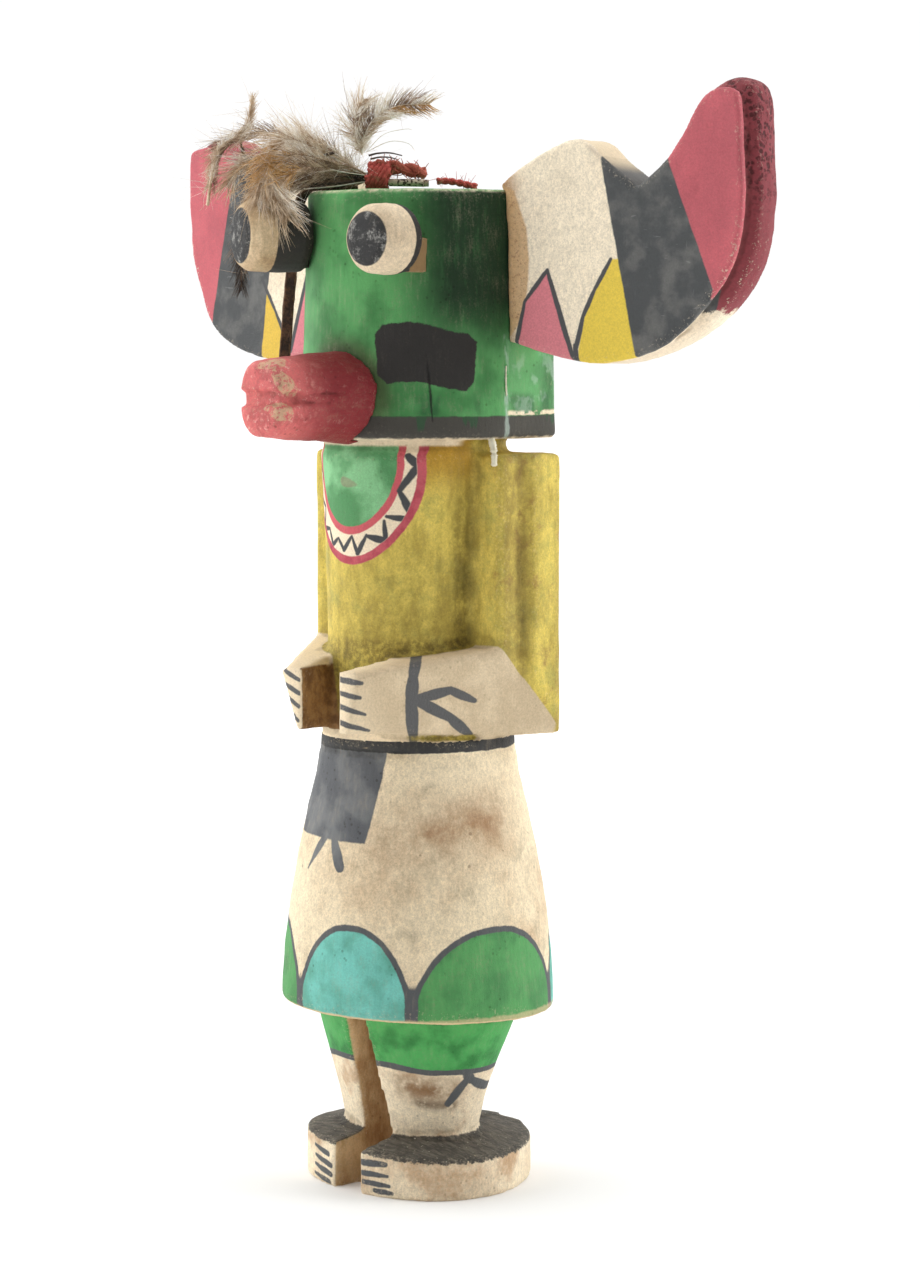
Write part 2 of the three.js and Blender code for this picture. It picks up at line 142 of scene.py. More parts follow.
def node(kind, *values, **settings):
    made = building["tree"].nodes.new("ShaderNode" + kind)
    for key, value in settings.items():
        setattr(made, key, value)
    for socket, value in zip(made.inputs, values):
        if value is not None:
            plug(value, socket)
    return made


def gives(kind, *values, pick=0, **settings):
    return Value(node(kind, *values, **settings).outputs[pick])


def parts(place):  # x, y and z
    return [Value(socket) for socket in node("SeparateXYZ", place).outputs]


def calc(operation, *values, clamp=False):
    return gives("Math", *values, operation=operation, use_clamp=clamp)


def vector(operation, *values):
    return gives("VectorMath", *values, operation=operation)


def dot(first, second):
    return gives("VectorMath", first, second, operation="DOT_PRODUCT", pick=1)


def distance(first, second):
    return gives("VectorMath", first, second, operation="DISTANCE", pick=1)


def stretched(direction, amount):
    return gives("VectorMath", direction, None, None, amount, operation="SCALE")


def fade(value, low, high, start=0.0, end=1.0):  # a smooth step, either way round
    return gives("MapRange", value, low, high, start, end, interpolation_type="SMOOTHSTEP")


def layer(factor, under, over, mode="MIX"):  # one coat of colour over another
    made = node("Mix", data_type="RGBA", blend_type=mode)
    for socket, value in ((0, factor), (6, under), (7, over)):
        plug(value, made.inputs[socket])
    return Value(made.outputs[2])


def coats(paint, look, **masks):  # coats in the look's colours, one over another, each with its mask
    for name, mask in masks.items():
        paint = layer(mask, paint, look[name])
    return paint


def cloud(place, scale, detail=3.0, roughness=0.55, stretch=None):
    if stretch:
        place = vector("MULTIPLY", place, stretch)
    return gives("TexNoise", place, None, scale, detail, roughness)


def both(*masks):
    result = masks[0]
    for mask in masks[1:]:
        result = result * mask
    return result


def either(*masks):
    result = masks[0]
    for mask in masks[1:]:
        result = calc("MAXIMUM", result, mask)
    return result


def unsteady(place, amount, size=0.25):  # moves a place a little, so painted edges waver
    drift = gives("TexNoise", place, None, size, 4.0, 0.75, pick=1)
    return vector("ADD", place, stretched(vector("SUBTRACT", drift, (0.5, 0.5, 0.5)), amount))


def tint(red, green, blue):  # screen colour to scene colour
    def linear(value):
        value /= 255
        return value / 12.92 if value <= 0.04045 else ((value + 0.055) / 1.055) ** 2.4
    return (linear(red), linear(green), linear(blue), 1.0)


def newGroup(name, inputs, outputs):
    group = bpy.data.node_groups.new(name, "ShaderNodeTree")
    for title, kind, value in inputs:
        socket = group.interface.new_socket(title, in_out="INPUT", socket_type="NodeSocket" + kind)
        socket.default_value = value
    for title, kind in outputs:
        group.interface.new_socket(title, in_out="OUTPUT", socket_type="NodeSocket" + kind)
    building["tree"] = group
    entry = group.nodes.new("NodeGroupInput")
    leave = group.nodes.new("NodeGroupOutput")
    return group, {socket.name: Value(socket) for socket in entry.outputs}, leave.inputs


def use(group, **values):
    made = building["tree"].nodes.new("ShaderNodeGroup")
    made.node_tree = group
    for title, value in values.items():
        plug(value, made.inputs[title])
    return {socket.name: Value(socket) for socket in made.outputs}


# effects that several finishes share
# one stroke of a brush from start to finish, with its half width at each end
brushMark, given, result = newGroup(
    "brushMark",
    [("place", "Vector", (0, 0, 0)), ("start", "Vector", (0, 0, 0)), ("finish", "Vector", (1, 0, 0)),
     ("startWidth", "Float", 0.7), ("endWidth", "Float", 0.7), ("softness", "Float", 0.16)],
    [("mask", "Float")])
run = vector("SUBTRACT", given["finish"], given["start"])
offset = vector("SUBTRACT", given["place"], given["start"])
share = calc("DIVIDE", dot(offset, run), dot(run, run), clamp=True)
halfWidth = gives("MapRange", share, 0.0, 1.0, given["startWidth"], given["endWidth"])
halfWidth = halfWidth * (calc("SINE", share * math.pi) * 0.24 + 0.84)  # a brush spreads on its way
soft = given["softness"]
plug(fade(halfWidth - distance(offset, stretched(run, share)), -soft, soft), result["mask"])

# cottonwood under a thin cream wash: mealy grain, brown stains, specks and a few dark pores
creamWood, given, result = newGroup(
    "creamWood",
    [("place", "Vector", (0, 0, 0)), ("cream", "Color", (0.8, 0.7, 0.5, 1)),
     ("stain", "Color", (0.4, 0.2, 0.1, 1)), ("stained", "Float", 0.5), ("grime", "Float", 0.4)],
    [("colour", "Color"), ("height", "Float")])
place = given["place"]
patches = fade(cloud(place, 0.045, 5.0, 0.62), 0.44, 0.78)
patches = calc("MULTIPLY", patches, given["stained"], clamp=True)
fibre = cloud(place, 1.1, 4.0, 0.7, (1, 1, 0.55))
mealy = cloud(place, 2.4, 3.0, 0.8)
tone = fade(fibre + mealy, 0.7, 1.3, 0.8, 1.12)
washed = layer(patches, given["cream"], given["stain"])
smoke = fade(cloud(place, 0.11, 4.0, 0.65), 0.5, 0.8)
smoke = calc("MULTIPLY", smoke, given["grime"], clamp=True)
washed = layer(smoke, washed, tint(140, 122, 92))
washed = layer(1.0, washed, tone, "MULTIPLY")
pores = fade(gives("TexVoronoi", place, None, 0.32), 0.16, 0.1)
pores = both(pores, fade(cloud(place, 0.18, 1.0), 0.6, 0.66), given["grime"])
plug(layer(pores, washed, tint(60, 45, 30)), result["colour"])
plug(fibre + mealy - pores, result["height"])

# thin poster paint over that wood: brushed unevenly, rubbed off at edges, grimy and darkened with painted
# shade in hollows
handPaint, given, result = newGroup(
    "handPaint",
    [("place", "Vector", (0, 0, 0)), ("ground", "Color", (0.8, 0.7, 0.5, 1)), ("groundHeight", "Float", 0.5),
     ("paint", "Color", (0.5, 0.5, 0.5, 1)), ("cover", "Float", 1.0), ("edge", "Float", 0.0),
     ("streaks", "Vector", (1, 1, 0.16)), ("uneven", "Float", 0.5), ("chipped", "Float", 0.3),
     ("grime", "Float", 0.4)],
    [("colour", "Color"), ("height", "Float"), ("rough", "Float")])
place = given["place"]
strokes = cloud(vector("MULTIPLY", place, given["streaks"]), 0.95, 4.0, 0.65)
pools = cloud(place, 0.12, 4.0, 0.6)
speckle = cloud(place, 2.2, 3.0, 0.8)
density = strokes + pools + speckle
shift = gives("MapRange", density, 1.1, 1.95, 1.0, -1.0) * given["uneven"]
lighter = fade(shift, 0.0, 1.0, 0.0, 0.4)
darker = fade(shift, 0.0, -1.0, 0.0, 0.6)
coat = layer(lighter, given["paint"], layer(0.5, given["paint"], given["ground"]))
coat = layer(darker, coat, layer(1.0, given["paint"], (0.4, 0.4, 0.42, 1), "MULTIPLY"))
coat = layer(1.0, coat, fade(speckle, 0.25, 0.75, 0.84, 1.12), "MULTIPLY")
freckles = gives("TexVoronoi", place, None, 0.7)
freckles = both(fade(freckles, 0.28, 0.16), fade(pools, 0.52, 0.62), given["uneven"])
coat = layer(freckles, coat, layer(1.0, coat, (0.42, 0.38, 0.32, 1), "MULTIPLY"))
worn = fade(cloud(place, 1.5, 5.0, 0.72) + given["edge"] * 0.2, 0.74, 0.83)
worn = calc("MULTIPLY", worn, given["chipped"], clamp=True)
kept = calc("SUBTRACT", given["cover"], worn, clamp=True)
mixed = layer(kept, given["ground"], coat)
# darker in hollows: grime, and painted shade where the surface curves inward
hollow = fade(given["edge"], -0.1, -1.0)
dirt = hollow * (given["grime"] * fade(pools, 0.3, 0.6))
mixed = layer(dirt, mixed, layer(1.0, mixed, tint(130, 116, 84), "MULTIPLY"))
plug(mixed, result["colour"])
plug(given["groundHeight"] * 0.55 + (kept * 0.9 + strokes * 0.7), result["height"])
plug(fade(speckle, 0.3, 0.75, 0.62, 0.86), result["rough"])
print("shared effects ready")


# material helpers
class Finish:  # a material being mixed: its tree, its places and its coats
    def __init__(self, name, wobble=0.7):
        self.material = bpy.data.materials.new(name)
        self.material.use_nodes = True
        building["tree"] = self.material.node_tree
        building["tree"].nodes.clear()
        here = vector("SUBTRACT", gives("TexCoord", pick="Object"), tuple(axis))
        self.place = vector("MULTIPLY", here, (1 / mm, 1 / mm, 1 / mm))
        self.hand = unsteady(self.place, wobble)
        self.edge = gives("Attribute", attribute_name="edge", pick="Fac")
        self.x, self.y, self.z = parts(self.hand)

    def mark(self, start, finish, startWidth=0.7, endWidth=0.7, place=None, softness=0.16):
        return use(
            brushMark, place=place or self.hand, start=start, finish=finish, startWidth=startWidth,
            endWidth=endWidth, softness=softness)["mask"]

    def marks(self, rows, place=None, sheet=None):  # strokes, or their shadows on an upright sheet
        if sheet is not None:
            turn = math.radians(sheet)
            right = Vector((math.cos(turn), math.sin(turn), 0))
            place = gives("CombineXYZ", dot(place or self.hand, tuple(right)), self.z, 0.0)
            rows = [
                tuple((right.dot(end), end[2], 0) for end in map(Vector, row[:2])) + row[2:] for row in rows]
        return either(*[self.mark(*row, place=place) for row in rows])

    def mottle(self, scale, detail, roughness, low, high, start=0.0, end=1.0, stretch=None):
        return fade(cloud(self.place, scale, detail, roughness, stretch), low, high, start, end)

    def wood(self, **values):
        return use(creamWood, place=self.place, **values)

    def coat(self, ground, paint, cover=1.0, **wear):
        return use(
            handPaint, place=self.place, ground=ground["colour"], groundHeight=ground["height"], paint=paint,
            cover=cover, edge=self.edge, **wear)

    def painted(self, ground, paint, strength, depth, **wear):  # a hand-painted surface
        coat = self.coat(ground, paint, **wear)
        return self.finish(coat["colour"], coat["rough"], coat["height"], strength, depth)

    def finish(self, colour, rough, height, strength, depth):
        shader = node("BsdfPrincipled")
        plug(colour, shader.inputs["Base Color"])
        plug(rough, shader.inputs["Roughness"])
        plug(lowGloss, shader.inputs["Specular IOR Level"])
        bump = node("Bump")
        plug(strength, bump.inputs["Strength"])
        plug(depth * mm, bump.inputs["Distance"])
        plug(height, bump.inputs["Height"])
        plug(Value(bump.outputs[0]), shader.inputs["Normal"])
        plug(Value(shader.outputs[0]), node("OutputMaterial").inputs[0])
        return self.material


def beyond(value, edge, softness=0.15):
    return fade(value, edge - softness, edge + softness)


def polygon(place, corners, softness=0.2):  # inside of a convex outline, corners clockwise
    inside = None
    for (ax, ay), (bx, by) in zip(corners, corners[1:] + corners[:1]):
        length = math.hypot(bx - ax, by - ay)
        nx, ny = (by - ay) / length, -(bx - ax) / length
        depth = dot(place, (nx, ny, 0)) - (nx * ax + ny * ay)
        inside = depth if inside is None else calc("MINIMUM", inside, depth)
    return fade(inside, -softness, softness)


def normalParts():  # which way the surface faces
    return parts(gives("NewGeometry", pick="Normal"))


paints = {
    "cream": tint(243, 226, 196), "stain": tint(160, 112, 66), "green": tint(88, 158, 92),
    "turquoise": tint(120, 200, 186), "charcoal": tint(88, 90, 92),
}
lowGloss = 0.3
frontSheet, sideSheet = 0, 42  # turns of the upright sheets on which drawn strokes cast their shadows


# geometry helpers
def selectOnly(piece):
    bpy.ops.object.select_all(action="DESELECT")
    piece.select_set(True)
    bpy.context.view_layer.objects.active = piece


def applyModifier(piece, kind, **settings):
    selectOnly(piece)
    modifier = piece.modifiers.new(kind.lower(), kind)
    for key, value in settings.items():
        setattr(modifier, key, value)
    bpy.ops.object.modifier_apply(modifier=modifier.name)


def copyNode(nodeName, pieceName):  # a merged copy of a solid, free of the frame
    selectOnly(frame["nodes"][nodeName])
    bpy.ops.object.duplicate()
    piece = bpy.context.object
    bpy.ops.object.parent_clear(type="CLEAR_KEEP_TRANSFORM")
    piece.name = piece.data.name = pieceName
    piece.data.materials.clear()
    bpy.ops.object.mode_set(mode="EDIT")
    bpy.ops.mesh.select_all(action="SELECT")
    bpy.ops.mesh.remove_doubles(threshold=1e-6)
    bpy.ops.object.mode_set(mode="OBJECT")
    return piece


def unevenTexture(size):
    texture = bpy.data.textures.new("knifeWork", "CLOUDS")
    texture.noise_scale = size * mm
    texture.noise_depth = 2
    return texture


def listed(elements, name, width, kind=np.float64):  # a property of all vertices, edges or faces
    values = np.zeros(len(elements) * width, kind)
    elements.foreach_get(name, values)
    return values.reshape(-1, width)


def markEdges(piece, passes=9, full=0.16):  # attribute edge: 1 on worn ridges, -1 in hollows
    mesh = piece.data
    count = len(mesh.vertices)
    place = listed(mesh.vertices, "co", 3)
    first, second = listed(mesh.edges, "vertices", 2, np.int64).T
    links = np.bincount(first, minlength=count) + np.bincount(second, minlength=count)
    smooth = place.copy()
    for _ in range(passes):
        total = np.zeros_like(smooth)
        for k in range(3):
            total[:, k] = (
                np.bincount(first, smooth[second, k], count) + np.bincount(second, smooth[first, k], count))
        smooth = total / np.maximum(links, 1)[:, None]
    rise = ((place - smooth) * listed(mesh.vertices, "normal", 3)).sum(1) / (full * mm)
    attribute = mesh.attributes.new("edge", "FLOAT", "POINT")
    attribute.data.foreach_set("value", np.clip(rise, -1, 1).astype(np.float32))


def fillIn(piece, kind, centre, size, turn=0):  # more wood where a cut is too deep or runs too far
    bpy.ops.object.select_all(action="DESELECT")
    if kind == "ball":
        bpy.ops.mesh.primitive_uv_sphere_add(segments=48, ring_count=24, radius=1, location=(0, 0, 0))
    else:
        bpy.ops.mesh.primitive_cube_add(size=2, location=(0, 0, 0))
    wedge = bpy.context.object
    wedge.scale = Vector(size) * mm
    bpy.ops.object.transform_apply(location=False, rotation=False, scale=True)
    wedge.rotation_euler.z = math.radians(turn)
    wedge.location = axis + Matrix.Rotation(math.radians(turn), 3, "Z") @ Vector(centre) * mm
    bpy.ops.object.transform_apply(location=True, rotation=True, scale=False)
    piece.select_set(True)
    bpy.context.view_layer.objects.active = piece
    bpy.ops.object.join()


def settle(piece, nodeName):  # every piece stands for a solid of the one rigid body
    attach(piece, "root")
    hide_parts(nodeName)


def carved(nodeName, pieceName, look):  # softened, slightly uneven knife work over a solid
    piece = copyNode(nodeName, pieceName)
    for filler in look.get("fill", []):
        fillIn(piece, *filler)
    applyModifier(piece, "REMESH", mode="VOXEL", voxel_size=look["voxel"] * mm)
    applyModifier(piece, "SMOOTH", factor=0.5, iterations=look["soften"])
    for size, depth in look["uneven"]:
        applyModifier(
            piece, "DISPLACE", texture=unevenTexture(size), strength=depth * mm, mid_level=0.5,
            texture_coords="LOCAL")
    bpy.ops.object.shade_smooth()
    markEdges(piece)
    settle(piece, nodeName)
    return piece


# the figure: head
headLook = {
    "radius": 26.3, "band": 177.2, "chin": 173.1, "underside": 171.95, "crown": 226.4,
    "snout": (0, -25, 181.4), "cheekApart": 18.0, "cheekShift": -13.0,
    "cheekTop": 197.0, "cheekLow": 182.8, "cheekFrom": 20.5, "cheekTo": 71.5, "cheekPeak": 1.7,
    "blotches": tint(60, 122, 66), "nearEar": tint(22, 46, 25), "nearSnout": tint(70, 40, 32),
    "mint": tint(128, 190, 132), "backStain": tint(44, 84, 46), "cheekBlack": tint(46, 44, 42),
    "bandBlack": tint(70, 68, 62), "drips": tint(34, 84, 50), "smeared": tint(30, 74, 44),
    "crack": tint(20, 18, 16), "gluePatch": tint(206, 224, 214), "glueCrease": tint(186, 206, 190),
    "glueGloss": (0.22, 0.22, 0.22, 1),
}


def headFinish():
    f = Finish("headPaint", 0.9)
    ground = f.wood(cream=paints["cream"], stain=paints["stain"], stained=0.5, grime=0.4)
    turn = calc("ARCTAN2", f.x, -f.y) * headLook["radius"]
    aside = abs(turn)
    upward = normalParts()[2]
    side = fade(f.y, -0.8, 0.4)
    # green, brushed on, with painted shade darkening it towards the ears and round the snout
    green = coats(
        paints["green"], headLook,
        blotches=f.mottle(0.09, 3.0, 0.55, 0.4, 0.66),
        # painted shade: dark green beside each ear, below the crown
        nearEar=both(
            fade(aside, 12.0, 27.0), fade(aside, 47.0, 44.0), fade(f.z, 186.0, 205.0), fade(upward, 0.8, 0.5),
            f.mottle(0.5, 4.0, 0.7, 0.2, 0.5, 0.7, 1.0, (1, 1, 0.2))) * 0.96,
        # dark round the snout's base: red bled from the snout, and painted shade
        nearSnout=fade(distance(f.hand, headLook["snout"]), 15.5, 10.5) * 0.6,
        # painted light: paler green on the back half below the ears, where the side facets face the light,
        # and on the far side
        mint=either(both(side, fade(f.z, 197, 195), 0.25), fade(turn, -2.0, -18.0, 0.0, 0.4)),
        backStain=both(fade(f.y, 6.0, 14.0), f.mottle(0.11, 5.0, 0.72, 0.42, 0.66, 0.1, 0.7, (1, 1, 0.5))))
    # black band round the chin, and green drips over it
    bandEdge = headLook["band"] - f.z
    band = fade(bandEdge, -0.2, 0.2)
    dripped = fade(bandEdge - f.mottle(0.24, 3.0, 0.6, 0.54, 0.68, 0.0, 3.2, (1, 1, 0.12)), -0.9, 0.6)
    # a black mark on each cheek, slightly peaked; the far one starts nearer the snout
    aside = fade(turn, 1.0, -1.0) * headLook["cheekShift"] + aside
    peak = fade(abs(aside - headLook["cheekApart"]), 12.0, 0.0, 0.0, headLook["cheekPeak"])
    lowered = unsteady(gives("CombineXYZ", aside, f.z - peak, 0.0), 0.9, 0.8)
    start, end = (math.radians(headLook[key]) * headLook["radius"] for key in ("cheekFrom", "cheekTo"))
    low, top = headLook["cheekLow"], headLook["cheekTop"]
    cheek = polygon(lowered, [
        (start, top - 2), (start + 1.6, top - 0.2), (end - 2.4, top - 1.4), (end, top - 3.5),
        (end - 0.9, low + 2), (end - 2.6, low), (start + 3, low + 0.6), (start + 0.8, low + 3)])
    black = either(both(cheek, fade(f.y, -1.0, -3.0)), band)
    soot = coats(
        headLook["cheekBlack"], headLook, bandBlack=band, drips=both(band, 1.0 - dripped, 0.62))
    # the green is smeared where it ran from the mark down to the band
    smeared = both(
        fade(f.z, 183.0, 181.0), fade(f.z, 177.0, 177.8), fade(aside, 17.0, 21.0),
        f.mottle(0.2, 3.0, 0.6, 0.42, 0.6, 0.0, 0.55, (1, 1, 0.3)))
    paint = coats(layer(black, green, soot), headLook, smeared=smeared)
    # the pale line left above the band at the sides, and bare wood at the chin and round the crown
    paleLine = both(beyond(f.z, headLook["band"] + 0.1), fade(f.z, 178.6, 177.9), side)
    paleLine = both(paleLine, f.mottle(0.3, 3.0, 0.55, 0.42, 0.5))
    bareRim = fade(f.z + cloud(f.place, 0.6), headLook["chin"], headLook["chin"] - 0.6)
    under = fade(f.z, headLook["underside"] + 0.3, headLook["underside"])
    crownRim = both(
        fade(f.z, headLook["crown"], headLook["crown"] + 0.8), fade(upward, 0.99, 0.9),
        f.mottle(0.7, 4.0, 0.7, 0.36, 0.62, 0.1, 0.65))
    cover = calc("SUBTRACT", 1.0, either(paleLine, bareRim * 0.8, under, crownRim), clamp=True)
    coat = f.coat(
        ground, paint, cover=cover, uneven=black * -0.36 + 0.6, chipped=black * -0.08 + 0.12, grime=0.5)
    # crack that runs down through the mark
    crack = either(
        f.mark((19.2, -18.6, 193), (19.6, -18.2, 186), 0.12, 0.34),
        f.mark((19.6, -18.2, 186), (20.2, -17.6, 176), 0.34, 0.1))
    colour = coats(coat["colour"], headLook, crack=crack * 0.85)
    # dried glue, still glossy, in the crease behind each cheek and on the side
    crease = both(
        fade(abs(f.y + 0.5), 1.1, 0.3), fade(f.z, 196, 194),
        f.mottle(0.5, 3.0, 0.7, 0.42, 0.6, 0.0, 0.9, (1, 1, 0.25)))
    patch = both(side, fade(f.z, 196, 186), fade(f.z, 176.5, 178.5), f.mottle(0.22, 3.0, 0.55, 0.5, 0.62))
    glue = either(crease, patch * 0.7)
    glueShade = layer(crease, headLook["gluePatch"], headLook["glueCrease"])
    colour = layer(glue * (crease * 0.3 + 0.24), colour, glueShade)
    rough = layer(glue, coat["rough"], headLook["glueGloss"])
    return f.finish(colour, rough, coat["height"] - crack * 3.0, strength=0.55, depth=0.4)


# the figure: torso and arms
# strokes are (start, end, half width at the start, half width at the end), in millimetres from the axis
zigzag = [
    ((13.3, -17.4, 168.4), (15.0, -15.7, 166.2), 0.7, 0.9),
    ((15.0, -15.7, 166.2), (11.7, -18.8, 160.6), 0.75, 0.55),
    ((11.7, -18.8, 160.6), (13.4, -17.3, 155.8), 0.5, 0.8),
    ((12.8, -17.9, 154.3), (9.1, -20.5, 154.8), 0.75, 0.45),
    ((8.6, -20.8, 153.8), (8.7, -20.7, 149.4), 0.4, 0.6),
    ((8.3, -21.0, 149.4), (4.7, -22.3, 150.3), 0.95, 0.5),
    ((4.6, -22.3, 150.6), (2.0, -22.7, 146.4), 0.35, 0.7),
    ((2.0, -22.7, 146.4), (0.6, -22.8, 150.0), 0.6, 0.35),
    ((0.5, -22.8, 150.2), (-2.3, -22.6, 147.0), 0.35, 0.65),
    ((-2.3, -22.6, 147.0), (-4.1, -22.3, 149.6), 0.5, 0.35),
    ((-4.2, -22.3, 149.6), (-6.6, -21.6, 148.0), 0.35, 0.6),
    ((-6.6, -21.6, 148.0), (-8.0, -21.1, 151.6), 0.5, 0.35),
    ((-8.0, -21.1, 151.6), (-11.4, -19.3, 151.4), 0.4, 0.7),
    ((-11.4, -19.3, 151.4), (-10.4, -19.9, 156.4), 0.6, 0.4),
    ((-10.4, -19.9, 156.4), (-14.0, -17.1, 158.6), 0.4, 0.7),
    ((-14.0, -17.1, 158.6), (-12.2, -18.6, 163.6), 0.6, 0.4),
    ((-12.2, -18.6, 163.6), (-15.0, -15.9, 168.2), 0.5, 0.8),
]
fingers = [
    ((8.1, -35, 119.3), (13.4, -33.4, 118.7), 0.75, 0.55),
    ((8.1, -35, 116.3), (12.7, -33.2, 115.4), 0.6, 0.5),
    ((7.8, -35, 113.4), (12.9, -31.8, 111.6), 0.7, 0.4),
    ((8.0, -35, 109.8), (12.6, -30.4, 107.8), 0.7, 0.4),
]
fingersRight = [
    ((-9.5, -34.9, 120.3), (-4.6, -34.9, 118.3), 0.5, 0.55),
    ((-9.5, -34.9, 117.3), (-4.6, -34.9, 115.3), 0.5, 0.6),
    ((-9.5, -34.9, 114.9), (-4.8, -34.9, 112.4), 0.4, 0.6),
    ((-8.8, -34.9, 111.8), (-5.0, -34.9, 109.2), 0.4, 0.6),
]
wristTie = [
    ((14.7, -16.5, 125.6), (18.6, -22.3, 119.6), 1.15, 1.25),
    ((18.6, -22.3, 119.6), (18.0, -22.3, 114.8), 1.25, 1.5),
    ((18.0, -22.3, 114.8), (14.1, -17.4, 104.6), 1.5, 1.1),
    ((18.2, -21.4, 114.6), (21.0, -12.6, 109.8), 1.25, 1.2),
    ((21.0, -12.6, 109.8), (20.3, -5.6, 105.8), 1.2, 1.0),
    ((18.3, -20.6, 114.6), (22.0, -13.6, 116.2), 1.2, 1.1),
    ((22.0, -13.6, 116.2), (23.6, -7.6, 113.6), 1.1, 0.8),
]
torsoLook = {
    "bib": (16.1, 22.2, 166.0), "bibGreen": (11.5, 15.7, 168.0),  # half width, depth, height of the top
    "bodyRadius": 20.6, "bodyBack": 1.5, "armGroove": 18.0, "cutLevel": 125.7, "cutSlope": -1.133,
    "yellow": tint(226, 203, 98), "streaks": tint(188, 166, 76), "moss": tint(148, 148, 78),
    "rust": tint(146, 98, 62), "mustard": tint(180, 136, 40), "backGrime": tint(150, 128, 62),
    "handled": tint(120, 104, 44), "hollowed": tint(122, 98, 50), "crook": tint(84, 66, 34),
    "bibRed": tint(178, 70, 84), "bibRedPale": tint(196, 90, 100), "creamBand": paints["cream"],
    "pinkLine": tint(204, 92, 100), "mint": tint(134, 196, 140), "leafGreen": tint(84, 146, 92),
    "zigzag": tint(70, 72, 74), "smudge": tint(150, 96, 96), "collar": paints["cream"],
    "skin": tint(236, 217, 184), "outside": tint(190, 168, 134), "palm": tint(150, 112, 66),
    "palmGrime": tint(110, 76, 40), "drawn": tint(92, 92, 92),
}


def bowl(f, wide, tall, centre):  # signed depth inside a U shape on the chest
    down = calc("MAXIMUM", centre - f.z, 0.0)
    across = (abs(f.x) / wide) ** 2.0
    drop = (down / tall) ** 2.0
    return (1.0 - calc("SQRT", across + drop)) * ((wide + tall) / 2)


